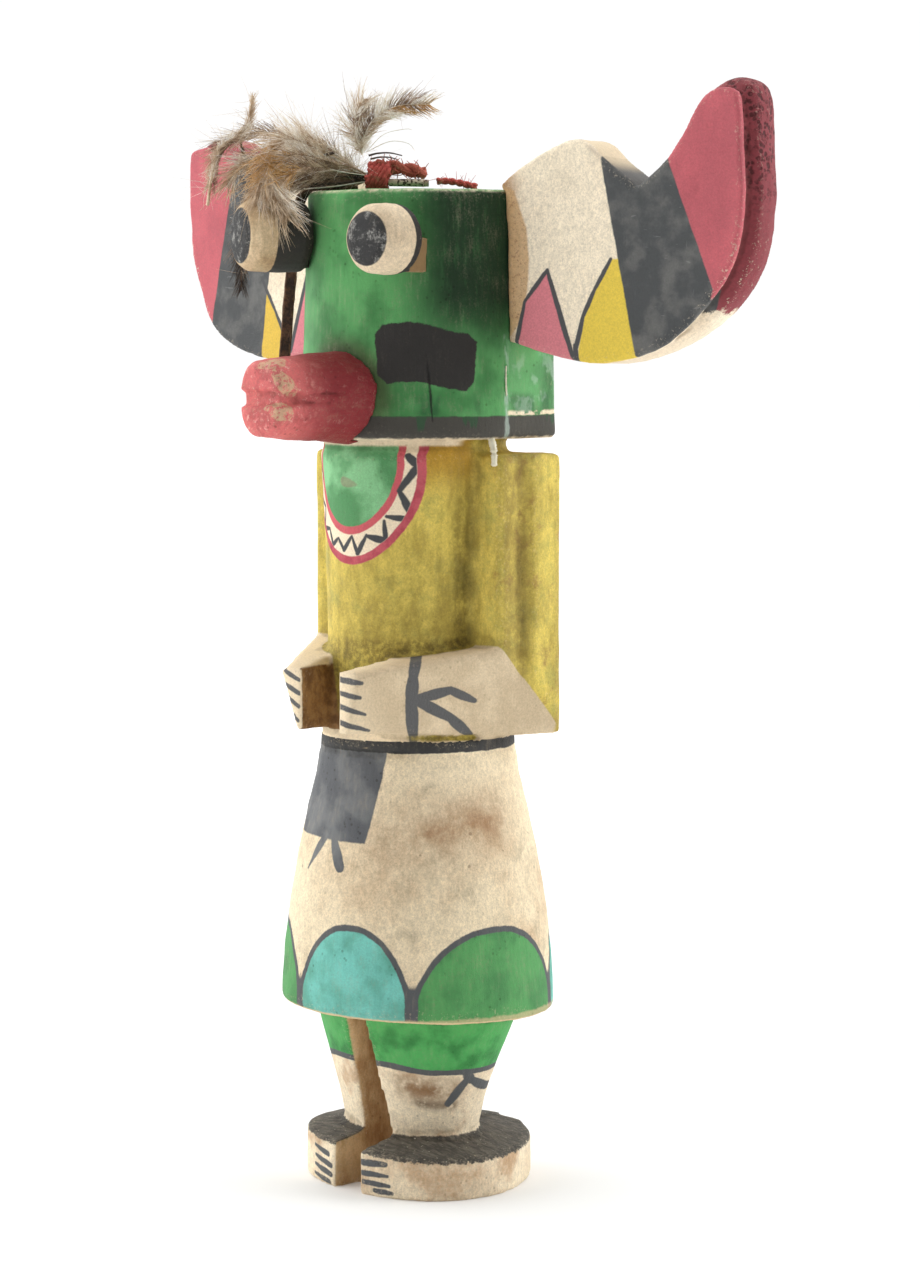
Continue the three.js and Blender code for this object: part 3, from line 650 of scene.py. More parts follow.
def torsoFinish():
    f = Finish("torsoPaint", 0.55)
    look = torsoLook
    ground = f.wood(cream=paints["cream"], stain=paints["stain"], stained=0.45, grime=0.5)
    paint = coats(
        look["yellow"], look,
        streaks=f.mottle(0.24, 5.0, 0.7, 0.36, 0.66, stretch=(1, 1, 0.4)),
        moss=f.mottle(0.13, 5.0, 0.75, 0.46, 0.72, 0.0, 0.6),
        rust=both(f.mottle(0.17, 5.0, 0.75, 0.52, 0.7), fade(f.x, 24, 27), 0.55),
        mustard=both(fade(f.z, 157, 168), fade(f.x, 8, 13), fade(f.y, -3, -6), 0.85),
        backGrime=both(fade(f.y, 9.0, 15.0), f.mottle(0.12, 5.0, 0.72, 0.4, 0.66, 0.1, 0.75, (1, 1, 0.45))))
    paint = layer(1.0, paint, f.mottle(1.5, 4.0, 0.85, 0.3, 0.7, 0.86, 1.1), "MULTIPLY")
    # painted shade darkens the grooves beside the arms, most low down, and the belly is darker towards the
    # bottom
    bodyPlace = gives("CombineXYZ", f.x, f.y + look["bodyBack"], 0.0)
    awayFromBody = gives("VectorMath", bodyPlace, operation="LENGTH", pick=1) - look["bodyRadius"]
    groove = both(
        fade(abs(abs(f.x) - look["armGroove"]), 3.0, 0.3), fade(f.y, -10.0, -7.5), fade(f.y, -2.6, -3.4))
    belly = both(fade(f.z, 160, 128), fade(f.y, -4, -12), fade(f.x, -10, 2))
    handled = either(both(groove, fade(f.z, 172, 140, 0.5, 0.95)), belly * 0.5)
    # bib: green inside a pink line, a zigzag on cream, and a red line outside
    front = fade(f.y, -8, -10)
    outer, inner = bowl(f, *look["bib"]), bowl(f, *look["bibGreen"])
    bibRed = layer(f.mottle(0.3, 3.0, 0.55, 0.4, 0.6), look["bibRed"], look["bibRedPale"])
    bibGreen = layer(f.mottle(0.1, 3.0, 0.55, 0.38, 0.62), look["mint"], look["leafGreen"])
    creamBand = both(beyond(outer, 1.6), front)
    paint = coats(
        paint, look,
        # painted shade in the grooves, and the belly darker towards the bottom
        handled=both(handled, f.mottle(0.35, 5.0, 0.75, 0.22, 0.68)),
        # the hollow on the arm's outer face is darker: painted shade, with brown smudges
        hollowed=both(
            fade(f.x, 27.2, 27.9), fade(f.y, -3.4, -2.6), fade(f.y, 5.5, 1.5),
            f.mottle(0.25, 5.0, 0.75, 0.3, 0.6, 0.12, 0.5)),
        crook=both(fade(f.z, 128.0, 126.0), fade(f.y, -3, -6), f.mottle(0.7, 5.0, 0.8, 0.38, 0.62, 0.0, 0.5)))
    paint = layer(both(beyond(outer, 0.0), front), paint, bibRed)
    paint = coats(paint, look, creamBand=creamBand, pinkLine=both(beyond(inner, -1.5), front))
    paint = layer(both(beyond(inner, 0.0), front), paint, bibGreen)
    paint = coats(
        paint, look,
        zigzag=both(f.marks(zigzag, sheet=frontSheet), creamBand),
        smudge=f.mark((-1.5, -22.6, 162.5), (3.5, -22.4, 161.5), 1.6, 0.6) * 0.45,
        collar=both(fade(f.z, 170.2, 170.9), fade(f.y, -6, -9)))
    # forearms and hands are cream; the slope of the cut runs from the crook to the elbow
    slope = calc("MAXIMUM", f.y + 4.0, 0.0) * look["cutSlope"] + look["cutLevel"]
    forearm = both(beyond(awayFromBody, 0.75, 0.25), fade(slope - f.z, -0.25, 0.25), fade(f.y, 12.5, 11.5))
    arm = either(forearm, both(fade(f.z, 105.7, 105.2), beyond(awayFromBody, 0.75)))
    outside = both(fade(f.x, 9, 16), f.mottle(0.1, 5.0, 0.7, 0.3, 0.6, 0.35, 1.0))
    skin = coats(look["skin"], look, outside=outside * 0.7)
    inward = (f.y + 34.8) * 0.18 + f.x  # the far hand's inner face slants
    palm = both(
        beyond(inward, -4.6), fade(f.x, 7.4, 7.0), fade(f.y, -16.0, -17.0), fade(f.z, 121.4, 120.8),
        beyond(f.z, 106.3))
    palm = both(palm, 1.0 - fade(f.y, -34.3, -34.55))
    skin = layer(palm, skin, layer(f.mottle(0.3, 4.0, 0.7, 0.36, 0.64), look["palm"], look["palmGrime"]))
    drawn = either(
        both(f.marks(fingers, sheet=sideSheet), beyond(f.x, 7.9)),
        both(f.marks(fingersRight, sheet=frontSheet), fade(f.x, -4.2, -4.5), fade(f.y, -33.6, -34.0)),
        both(f.marks(wristTie, sheet=sideSheet), beyond(f.x, 9.0)))
    paint = layer(arm, paint, coats(skin, look, drawn=drawn))
    return f.painted(ground, paint, strength=0.55, depth=0.4, uneven=0.3, chipped=0.12, grime=0.4)


# the figure: kilt
# scallops along the hem are (centre, half width) in degrees round the doll, top in millimetres, colour
kiltScallops = [
    (11.6, 28.0, 63.5, "turquoise"), (78.2, 38.0, 62.9, "green"), (144.9, 28.4, 62.6, "turquoise"),
    (201.8, 28.4, 63.0, "green"), (258.6, 28.4, 62.8, "turquoise"), (315.2, 28.2, 62.4, "green"),
]
# lines between the scallops, in degrees round the doll
kiltPartings = (-16.5, 40.1, 116.3, 173.3, 230.2, 286.9)
kiltLook = {
    "belt": 101.7, "outline": 1.25, "foot": 47.5, "radius": 30.5, "middle": 0.6, "rim": 43.6,
    "lapScale": 0.45,
    "cream": tint(240, 222, 188), "worn": tint(170, 126, 80), "lapStain": tint(150, 104, 60),
    "deepGreen": tint(50, 104, 62), "slate": tint(114, 116, 117), "slateDark": tint(92, 94, 97),
    "beltBlack": tint(58, 58, 57), "bare": tint(222, 196, 152), "chippedTo": tint(232, 212, 176),
    "parting": paints["charcoal"],
}
# the sash is drawn on the lap rolled out: degrees round the doll by lapScale, and height
sashOutline = [(-21.2, 102.5), (11.2, 102.5), (8.6, 88.5), (7.2, 81.6), (-19.0, 82.0), (-21.4, 86.0)]
sashTails = [
    ((-1.6, 82.4, 0), (1.4, 76.0, 0), 1.0, 1.5), ((-4.6, 82.2, 0), (-9.2, 74.6, 0), 1.3, 0.25),
]


def roundDoll(angle, centre):  # degrees from a centre, either way round
    return gives("Math", angle - centre, 180.0, -180.0, operation="WRAP")


def kiltFinish():
    f = Finish("kiltPaint", 0.8)
    look = kiltLook
    ground = f.wood(cream=look["cream"], stain=look["worn"], stained=0.6, grime=0.45)
    turn = calc("DEGREES", calc("ARCTAN2", f.x, -(f.y + look["middle"])))
    # brown stain across the lap
    lap = gives("CombineXYZ", turn * look["lapScale"], f.z, 0.0)
    stain = f.mark((12.0, 83.0, 0), (36.0, 86.0, 0), 2.5, 5.5, lap, softness=8.0)
    colour = coats(
        ground["colour"], look, lapStain=both(stain, f.mottle(0.12, 5.0, 0.7, 0.28, 0.64, 0.2, 0.95)))
    scallops = []
    for centre, half, top, name in kiltScallops:
        span, tall = math.radians(half) * look["radius"], top - look["foot"]
        share = abs(roundDoll(turn, centre)) / half
        rise = calc("MAXIMUM", (f.z - look["foot"]) / tall, 0.0)
        across = share ** 1.3 * (2.3 / span)
        upward = (rise + 0.02) ** 0.4 * (1.4 / tall)
        slope = calc("SQRT", across ** 2.0 + upward ** 2.0)
        depth = (1.0 - (share ** 2.3 + rise ** 1.4)) / (slope + 0.01)
        shape = beyond(depth, 0.0)
        blotched = layer(
            f.mottle(0.11, 4.0, 0.55, 0.4, 0.66), paints[name], layer(0.45, paints[name], look["deepGreen"]))
        colour = layer(shape, colour, paints["charcoal"])
        colour = layer(beyond(depth, look["outline"]), colour, blotched)
        scallops.append(shape)
    # dark lines part the scallops, down to the hem
    apart = None
    for edge in kiltPartings:
        gap = abs(roundDoll(turn, edge))
        apart = gap if apart is None else calc("MINIMUM", apart, gap)
    colour = coats(colour, look, parting=both(fade(apart, 2.0, 1.6), fade(f.z, 51.0, 49.5)))
    # sash on the right hip with two tails, and the belt
    belt = fade(f.z - (look["belt"] - 0.35 + cloud(f.place, 0.25) * 0.7), -0.15, 0.15)
    black = either(polygon(lap, sashOutline), f.marks(sashTails, lap), belt)
    slate = layer(f.mottle(0.12, 4.0, 0.55, 0.4, 0.62), look["slate"], look["slateDark"])
    colour = layer(black, colour, coats(slate, look, beltBlack=belt))
    rim = fade(f.z + cloud(f.place, 0.5), look["rim"], look["rim"] - 0.7)
    colour = coats(colour, look, bare=either(rim * 0.55, fade(normalParts()[2], -0.45, -0.7)))
    ground["colour"] = look["chippedTo"]
    uneven = either(black, either(*scallops)) * 0.4 + 0.2
    return f.painted(ground, colour, strength=0.55, depth=0.4, uneven=uneven, chipped=0.28, grime=0.4)


# the figure: legs and feet, which are turned a little to the doll's right
legLook = {
    "turn": 8.0, "line": 29.6, "footTop": 9.5, "ankle": 12.7, "cutMiddle": -0.5, "cutHalf": 4.75,
    "cream": tint(248, 231, 200), "stain": tint(176, 126, 76), "smear": tint(176, 124, 72),
    "shin": tint(130, 90, 50), "burnt": tint(82, 56, 34), "green": tint(82, 172, 92),
    "greenDark": tint(54, 132, 66), "drawn": paints["charcoal"], "soot": tint(70, 67, 62),
    "sootWorn": tint(108, 102, 92), "flecks": tint(214, 206, 186), "sawn": tint(226, 196, 150),
    "sawnDark": tint(178, 138, 92), "sawnLow": tint(122, 84, 46), "chip": tint(228, 232, 214),
    "speck": tint(84, 60, 40),
}
toes = [
    ((4.5, -21.3, 7.5), (11.4, -19.6, 7.8), 0.82, 0.7), ((4.8, -21.3, 5.1), (12.0, -19.4, 5.2), 0.78, 0.42),
    ((5.2, -21.2, 3.1), (12.4, -19.4, 3.0), 0.65, 0.5), ((8.6, -20.6, 1.5), (13.0, -19.0, 1.4), 0.7, 0.55),
]
toesRight = [
    ((-13.7, -20.2, 8.4), (-7.4, -21.4, 7.3), 0.42, 0.75),
    ((-13.4, -20.3, 6.1), (-6.3, -21.5, 4.8), 0.42, 0.78),
    ((-13.6, -20.3, 4.0), (-6.3, -21.5, 2.7), 0.42, 0.8),
    ((-13.8, -20.0, 1.8), (-6.9, -21.3, 0.8), 0.42, 0.75),
]
legTie = [
    ((19.3, -1.8, 27.6), (19.2, -1.0, 26.0), 1.2, 1.0), ((19.2, -1.8, 26.4), (15.3, -4.3, 20.4), 0.8, 0.9),
    ((19.2, -0.6, 26.4), (16.2, 6.4, 23.3), 0.9, 1.15),
]


def alongFeet(direction):  # turned into the feet's own direction
    return gives(
        "VectorRotate", direction, None, (0, 0, 1), math.radians(legLook["turn"]), rotation_type="AXIS_ANGLE")


def legFinish():
    f = Finish("legPaint", 0.6)
    look = legLook
    turned = alongFeet(f.hand)
    x, y, z = parts(turned)
    sideways = parts(alongFeet(gives("NewGeometry", pick="Normal")))[0]
    wood = f.wood(cream=look["cream"], stain=look["stain"], stained=0.6, grime=0.3)
    shin = f.mark((10.4, -12.4, 24.6), (17.0, -5.0, 23.2), 3.2, 3.0, turned, softness=4.0)
    burnt = f.mark((11.4, -9.6, 20.6), (15.6, -3.2, 20.0), 0.9, 1.1, turned, softness=1.2)
    paint = coats(
        wood["colour"], look,
        smear=f.mottle(0.075, 5.0, 0.7, 0.5, 0.66, 0.0, 0.55),
        shin=both(shin, f.mottle(0.3, 4.0, 0.7, 0.26, 0.56, 0.2, 0.95)),
        burnt=both(burnt, f.mottle(0.6, 4.0, 0.7, 0.34, 0.5)) * 0.75)
    # stockings: green above a drawn line that dips in front
    aboveLine = z - (fade(y, -16.5, -10.0) * -1.3 + look["line"])
    green = layer(f.mottle(0.12, 4.0, 0.55, 0.4, 0.66), look["green"], look["greenDark"])
    paint = layer(beyond(aboveLine, 0.3), paint, green)
    drawn = either(
        fade(abs(aboveLine), 0.8, 0.55),
        both(f.marks(legTie, turned, sheet=sideSheet), beyond(x, 5.0), fade(y, 8.6, 8.2)),
        both(f.marks(toes + toesRight, turned, sheet=frontSheet), fade(y, -14.0, -16.0)))
    paint = coats(paint, look, drawn=drawn)
    # charcoal tops of the feet, brushed on with a ragged edge
    ragged = (cloud(f.place, 0.8, 5.0, 0.75) - 0.5) * 2.4
    top = both(
        fade(x * 0.045 + z + ragged, look["footTop"] - 0.1, look["footTop"] + 0.25),
        fade(x * 0.03 + (z + ragged * 0.45), look["ankle"] + 0.25, look["ankle"] - 0.1))
    brushed = f.mottle(0.9, 4.0, 0.75, 0.4, 0.65, stretch=(0.25, 1, 1))
    paint = layer(top, paint, layer(brushed, look["soot"], look["sootWorn"]))
    paint = coats(paint, look, flecks=both(top, f.mottle(1.6, 2.0, 0.55, 0.7, 0.74)))
    # the saw cut is bare wood, darker low down
    wall = z * -0.0333 + look["cutHalf"]
    cut = both(fade(wall - abs(x - look["cutMiddle"]), -0.18, 0.18), fade(abs(sideways), 0.5, 0.75))
    grain = f.mottle(0.12, 5.0, 0.7, 0.36, 0.64, stretch=(1, 1, 0.5))
    sawn = coats(layer(grain, look["sawn"], look["sawnDark"]), look, sawnLow=fade(z, 9, 3, 0.0, 0.35))
    paint = coats(
        layer(cut, paint, sawn), look,
        chip=f.mark((6.9, -18.6, 36.2), (7.0, -18.2, 33.6), 0.45, 0.3),
        speck=f.mark((21.0, 1.0, 20.0), (21.0, 1.3, 19.9), 0.45, 0.4))
    return f.painted(wood, paint, strength=0.6, depth=0.45, uneven=0.45, chipped=0.3, grime=0.5)


figureLook = {
    "voxel": 0.8, "soften": 2, "uneven": [(16.0, 0.4), (4.0, 0.16)],
    "neck": 171.85, "waist": 104.2, "hem": 43.4, "knee": 38, "legRadius": 30.4, "middle": 0.6,
    "fill": [("block", (-0.5, 20.4, 5.6), (5.4, 6.8, 5.1), -8)],
}
figure = carved("figure", "carvedFigure", figureLook)
for finish in (headFinish(), torsoFinish(), kiltFinish(), legFinish()):
    figure.data.materials.append(finish)
centres = (listed(figure.data.polygons, "center", 3) - np.array(axis)) / mm
height = centres[:, 2]
inLegs = np.hypot(centres[:, 0], centres[:, 1] + figureLook["middle"]) < figureLook["legRadius"]
notUnder = listed(figure.data.polygons, "normal", 3)[:, 2] > -0.6
leg = (height < figureLook["hem"]) & inLegs & notUnder | (height < figureLook["knee"])
zone = np.where(
    height > figureLook["neck"], 0, np.where(height > figureLook["waist"], 1, np.where(leg, 3, 2)))
figure.data.polygons.foreach_set("material_index", zone.astype(np.int32))
figure.data.update()
print("figure carved and painted:", len(figure.data.polygons), "faces")


# ears: boards glued to the head, painted on both faces
# drawings are in the plane of the board: outwards from its seat, and height
earLook = {
    "voxel": 0.6, "soften": 2, "uneven": [(11.0, 0.5), (3.2, 0.2)], "seat": 27.0, "sweep": 8.9,
    "cream": tint(246, 232, 206), "worn": tint(176, 128, 84), "seam": tint(164, 118, 76),
    "glue": tint(206, 168, 120), "glueBrown": tint(150, 104, 64), "red": tint(196, 98, 106),
    "redDeep": tint(180, 90, 98), "back": tint(176, 92, 98), "backRim": tint(138, 62, 68),
    "black": tint(74, 76, 77), "blackWorn": tint(102, 102, 100), "hairline": tint(150, 150, 148),
    "pink": tint(214, 128, 136), "lines": tint(78, 78, 80), "topCream": tint(214, 196, 164),
    "topGrey": tint(100, 99, 96), "pits": tint(66, 24, 26),
}
earDrawings = {
    "left_ear": {
        "black": [(22.5, 240), (38.4, 239), (52.4, 204.2), (50.2, 200.2), (44, 184), (34.1, 184)],
        "red": [(37.0, 262), (70, 262), (70, 198.6), (49, 198.6), (36.2, 240)],
        "yellow": [
            (26.7, 211.8), (28.6, 211.8), (36, 184), (18.0, 184), (18.2, 192), (19.9, 199.4), (22.6, 205)],
        "pink": [(10.1, 209.4), (17.3, 188.6), (18.3, 184), (1.5, 184), (2.2, 193.5), (4.4, 202.8)],
        "lines": [
            ((2.0, 192.8, 0), (4.3, 202.6, 0), 0.6, 0.45), ((4.3, 202.6, 0), (10.1, 209.5, 0), 0.45, 0.55),
            ((10.1, 209.5, 0), (16.9, 190.2, 0), 0.55, 0.65),
            ((17.6, 192.4, 0), (19.5, 199.4, 0), 0.65, 0.55),
            ((19.5, 199.4, 0), (22.3, 205.0, 0), 0.55, 0.5),
            ((22.3, 205.0, 0), (26.6, 211.8, 0), 0.5, 0.45), ((17.4, 193.0, 0), (17.9, 186, 0), 0.6, 0.9),
        ],
        "seam": (5.5, 1.0), "gold": tint(226, 198, 78),
        "stain": [(-3, 229), (1.6, 227), (4.6, 219), (5.4, 212), (5.0, 205), (3.2, 198), (-3, 191)],
    },
    "right_ear": {
        "black": [(20.4, 240), (38.2, 240), (43.7, 218.5), (49.2, 198.5), (45, 184), (29.6, 184)],
        "red": [(36.0, 262), (70, 262), (70, 196), (46, 196), (36.0, 240)],
        "yellow": [(27.6, 207.4), (28.2, 207.4), (30.4, 184), (18.6, 184), (18.8, 194.0), (22.6, 200.4)],
        "pink": [(10.6, 208.6), (17.2, 190.6), (18.2, 184), (1.5, 184), (2.2, 193.5), (5.6, 202.6)],
        "lines": [
            ((2.4, 192.8, 0), (5.6, 202.6, 0), 0.6, 0.5), ((5.6, 202.6, 0), (10.6, 208.8, 0), 0.5, 0.55),
            ((10.6, 208.8, 0), (17.0, 191.2, 0), 0.55, 0.65),
            ((18.6, 193.6, 0), (22.6, 200.4, 0), 0.6, 0.5), ((22.6, 200.4, 0), (27.6, 207.4, 0), 0.5, 0.5),
            ((18.6, 194.0, 0), (18.4, 186, 0), 0.6, 0.8),
        ],
        "seam": (5.0, 0.5), "gold": tint(218, 182, 72),
        "stain": [(-3, 226), (1.0, 224), (2.6, 214), (2.0, 204), (-3, 194)],
    },
}


def earFinish(nodeName, side):
    drawing = earDrawings[nodeName]
    f = Finish(nodeName + "Paint", 0.5)
    sweep = math.radians(earLook["sweep"])
    outwards = f.x * float(side) - earLook["seat"]
    along = outwards * math.cos(sweep) + f.y * math.sin(sweep)
    deep = f.y * math.cos(sweep) - outwards * math.sin(sweep)
    board = gives("CombineXYZ", along, f.z, 0.0)
    look = earLook
    ground = f.wood(cream=look["cream"], stain=look["worn"], stained=0.25, grime=0.12)
    reach, amount = drawing["seam"]
    seam = both(
        fade(cloud(f.place, 0.35, 4.0, 0.7) * 8.0 + along, reach + 3.2, reach - 3.0),
        fade(deep, 5, 3, 0.3, amount), f.mottle(0.7, 4.0, 0.75, 0.3, 0.56, 0.35, 1.0))
    paint = coats(ground["colour"], look, seam=seam)
    glueStain = layer(f.mottle(1.5, 4.0, 0.8, 0.52, 0.66), look["glue"], look["glueBrown"])
    paint = layer(polygon(board, drawing["stain"], 0.4) * 0.85, paint, glueStain)
    # red rim, yellow and pink triangles, and the black field between
    rim = fade(along, 46, 53)
    brushed = f.mottle(0.09, 4.0, 0.6, 0.38, 0.62, stretch=(1, 1, 0.6))
    # the red behind the front face darkens towards the gouged rim with painted shade
    red = layer(
        fade(deep, 1.4, 3.0), layer(brushed, look["red"], look["redDeep"]),
        layer(rim, look["back"], look["backRim"]))
    paint = layer(polygon(board, drawing["red"]), paint, red)
    frontFace = fade(deep, 4.5, 3.5)
    paint = layer(both(polygon(board, drawing["yellow"]), frontFace), paint, drawing["gold"])
    black = layer(f.mottle(0.14, 4.0, 0.55, 0.45, 0.68), look["black"], look["blackWorn"])
    hairline = cloud(f.place, 1.3, 2.0, 0.5, (1, 1, 0.12))
    hairline = either(fade(hairline, 0.7, 0.76), f.mottle(1.3, 2.0, 0.5, 0.7, 0.76, stretch=(0.12, 1, 1)))
    paint = layer(polygon(board, drawing["black"]), paint, coats(black, look, hairline=hairline * 0.3))
    paint = coats(
        paint, look,
        pink=both(polygon(board, drawing["pink"]), frontFace),
        lines=both(f.marks(drawing["lines"], board), frontFace))
    # painted shade greys the top edge away from the seat; the sawn underside behind the front face is bare
    _, backward, upward = normalParts()
    ragged = (cloud(f.place, 0.35, 4.0, 0.7) - 0.5) * 5.0
    bareUnder = both(fade(upward, -0.14, -0.2), fade(deep, 1.2, 1.8), fade(f.z + ragged, 200.6, 199.8))
    top = both(fade(upward, 0.35, 0.6), fade(along, 44, 40), fade(deep, 0.6, 1.4), 0.85)
    paint = layer(top, paint, layer(fade(along, 24, 29), look["topCream"], look["topGrey"]))
    coat = f.coat(
        ground, paint, cover=1.0 - bareUnder, streaks=(0.35, 1, 1), uneven=0.14,
        chipped=both(rim, fade(f.z, 222, 208)) * 0.5 + 0.2, grime=0.6)
    # small pits in the gouged rim
    pits = both(
        fade(gives("TexVoronoi", f.hand, None, 0.95), 0.62, 0.36), fade(along, 51, 54),
        fade(deep, 2.4, 3.6), fade(f.z, 218, 232, 0.12, 1.0), fade(backward, 0.8, 0.4, 0.2, 1.0),
        f.mottle(0.4, 4.0, 0.7, 0.38, 0.56))
    colour = coats(coat["colour"], look, pits=pits * 0.85)
    return f.finish(colour, coat["rough"], coat["height"] - pits * 1.6, strength=0.5, depth=0.4)


for nodeName, pieceName, side in (("left_ear", "leftEarBoard", 1), ("right_ear", "rightEarBoard", -1)):
    earBoard = carved(nodeName, pieceName, earLook)
    earBoard.data.materials.append(earFinish(nodeName, side))
print("ears ready")


# snout and eyes
snoutLook = {
    "voxel": 0.5, "soften": 3, "uneven": [(7.0, 0.6), (2.5, 0.25)], "tip": -51.6, "root": -26.0,
    "fill": [("ball", (0, -32.6, 181.4), (9.4, 17.0, 2.4)), ("block", (0, -45.6, 181.4), (5.4, 4.8, 1.9))],
    "wood": tint(214, 190, 156), "stain": tint(150, 122, 92), "rootRed": tint(134, 44, 48),
    "tipRed": tint(218, 114, 112), "blotches": tint(132, 36, 42), "pale": tint(226, 150, 140),
    "scuffs": tint(236, 186, 174), "knocks": tint(206, 176, 140),
}
# knocked spots near the tip, as short strokes
snoutKnocks = [
    ((4.6, -51.0, 187.0), (7.2, -49.5, 183.4), 1.2, 2.0),
    ((3.0, -51.8, 179.2), (6.8, -50.4, 178.4), 1.0, 2.2),
    ((-1.5, -50.0, 188.6), (2.5, -47.0, 189.2), 0.7, 1.1),
]


def snoutFinish():
    f = Finish("snoutPaint", 0.8)
    look = snoutLook
    ground = f.wood(cream=look["wood"], stain=look["stain"], stained=0.5, grime=0.5)
    towardsTip = fade(f.y, look["root"] - 9, look["tip"] + 1.5)
    red = coats(
        layer(towardsTip, look["rootRed"], look["tipRed"]), look,
        blotches=f.mottle(0.16, 5.0, 0.7, 0.42, 0.7, 0.0, 0.7),
        pale=both(f.mottle(0.16, 4.0, 0.7, 0.56, 0.7), towardsTip),
        scuffs=both(f.mottle(0.7, 5.0, 0.8, 0.56, 0.66), fade(f.y, -42.0, -49.0, 0.12, 0.75)),
        knocks=both(f.marks(snoutKnocks, sheet=sideSheet), f.mottle(0.8, 5.0, 0.8, 0.44, 0.52)) * 0.8)
    return f.painted(
        ground, red, strength=0.6, depth=0.4, streaks=(1, 0.3, 1), uneven=0.55, chipped=0.25, grime=0.5)


snoutPiece = carved("snout", "carvedSnout", snoutLook)
snoutPiece.data.materials.append(snoutFinish())

eyeLook = {
    "voxel": 0.36, "soften": 2, "uneven": [(5.0, 0.25), (1.6, 0.08)], "faceDepth": 24.6, "faceHalf": 25.7,
    "stain": tint(150, 112, 72), "pupil": tint(44, 44, 44), "pupilWorn": tint(168, 166, 160),
    "blackBack": tint(52, 50, 48),
}
# each eye: where its axis meets the head, its turn and length, the pupil's radius, and how far behind
# its front the white and the black end
eyeBands = {
    "left_eye": {
        "x": 15.6, "z": 216.2, "turn": 0.0, "reach": 15.3, "pupil": 5.9, "white": 8.6, "black": 13.0,
        "cream": tint(230, 211, 180), "stained": 0.5, "shank": tint(150, 122, 84),
    },
    "right_eye": {
        # the far eye's cream is a little darker and more stained than the near eye's, partly as painted shade
        # from the feathers above it
        "x": -15.6, "z": 217.4, "turn": -24.0, "reach": 17.7, "pupil": 6.2, "white": 7.0, "black": 30.0,
        "cream": tint(226, 204, 166), "stained": 1.0, "shank": tint(44, 40, 36),
    },
}


def eyeFinish(nodeName):
    bands = eyeBands[nodeName]
    f = Finish(nodeName + "Paint", 0.5)
    angle = math.radians(bands["turn"])
    looking = Vector((math.sin(angle), -math.cos(angle), 0))
    faceDepth = eyeLook["faceDepth"] * math.sqrt(1 - (bands["x"] / eyeLook["faceHalf"]) ** 2)
    tip = Vector((bands["x"], -faceDepth, bands["z"])) + looking * bands["reach"]
    back = dot(vector("SUBTRACT", f.hand, tuple(tip)), tuple(-looking))
    radius = distance(f.hand, vector("ADD", tuple(tip), stretched(tuple(looking), -back)))
    ground = f.wood(cream=bands["cream"], stain=eyeLook["stain"], stained=bands["stained"], grime=0.4)
    blackBack = both(beyond(back, bands["white"]), fade(back, bands["black"] + 0.3, bands["black"] - 0.1))
    paint = coats(ground["colour"], eyeLook, blackBack=both(blackBack, fade(radius, 5.6, 6.0)))
    pupil = both(fade(back, 2.6, 1.9), fade(radius, bands["pupil"] + 0.25, bands["pupil"] - 0.1))
    dark = layer(f.mottle(0.42, 6.0, 0.85, 0.5, 0.68, 0.0, 0.8), eyeLook["pupil"], eyeLook["pupilWorn"])
    paint = layer(pupil, paint, dark)
    paint = coats(paint, bands, shank=fade(back, bands["reach"] - 4.4, bands["reach"] - 3.8))
    return f.painted(
        ground, paint, strength=0.5, depth=0.3, streaks=(1, 1, 1), uneven=0.35, chipped=0.35, grime=0.6)


for nodeName, pieceName in (("left_eye", "leftEyePeg"), ("right_eye", "rightEyePeg")):
    eyePeg = carved(nodeName, pieceName, eyeLook)
    eyePeg.data.materials.append(eyeFinish(nodeName))
print("snout and eyes ready")


# feathers
# the tie lies along the doll's front right; a place on it is (along, side, height)
tieAlong = Vector((-0.743, -0.669, 0))
tieSide = Vector((0.669, -0.743, 0))


def onTie(along, side, height):
    flat = tieAlong * along + tieSide * side
    return spot(flat.x, flat.y, height)


def smoothPath(points, steps):  # places along a Catmull-Rom curve through the points
    ends = [points[0] * 2 - points[1], *points, points[-1] * 2 - points[-2]]
    places = []
    for i in range(steps + 1):
        t = i / steps * (len(points) - 1)
        k = min(int(t), len(points) - 2)
        t -= k
        a, b, c, d = ends[k:k + 4]
        places.append(0.5 * (
            2 * b + (c - a) * t + (2 * a - 5 * b + 4 * c - d) * t ** 2 + (3 * b - a - 3 * c + d) * t ** 3))
    return places


def strandCurve(name, thickness):
    curve = bpy.data.curves.new(name, "CURVE")
    curve.dimensions = "3D"
    curve.bevel_depth = thickness / 2 * mm
    curve.bevel_resolution = 0
    curve.use_fill_caps = True
    piece = bpy.data.objects.new(name, curve)
    bpy.context.collection.objects.link(piece)
    return piece


def addStrand(piece, places, widths, finish):
    strand = piece.data.splines.new("POLY")
    strand.points.add(len(places) - 1)
    for point, place, width in zip(strand.points, places, widths):
        point.co = (*place, 1)
        point.radius = width
    strand.material_index = finish
    strand.use_smooth = True


def featherFinish(name, dark, light):
    f = Finish(name)
    mottled = f.mottle(0.5, 3.0, 0.7, 0.35, 0.65)
    height = cloud(f.place, 2.4, 2.0)
    return f.finish(layer(mottled, dark, light), 0.7, height, strength=0.15, depth=0.1)


# shades along a vane are letters of this table, from the root of a feather to its tip
featherShades = {
    "t": featherFinish("featherTan", tint(182, 154, 124), tint(226, 208, 182)),
    "b": featherFinish("featherBrown", tint(122, 98, 80), tint(172, 146, 122)),
    "c": featherFinish("featherCream", tint(232, 220, 200), tint(252, 248, 240)),
    "g": featherFinish("featherGold", tint(184, 138, 80), tint(220, 182, 128)),
    "d": featherFinish("featherDark", tint(54, 44, 38), tint(86, 72, 62)),
}
shadeOrder = list(featherShades)

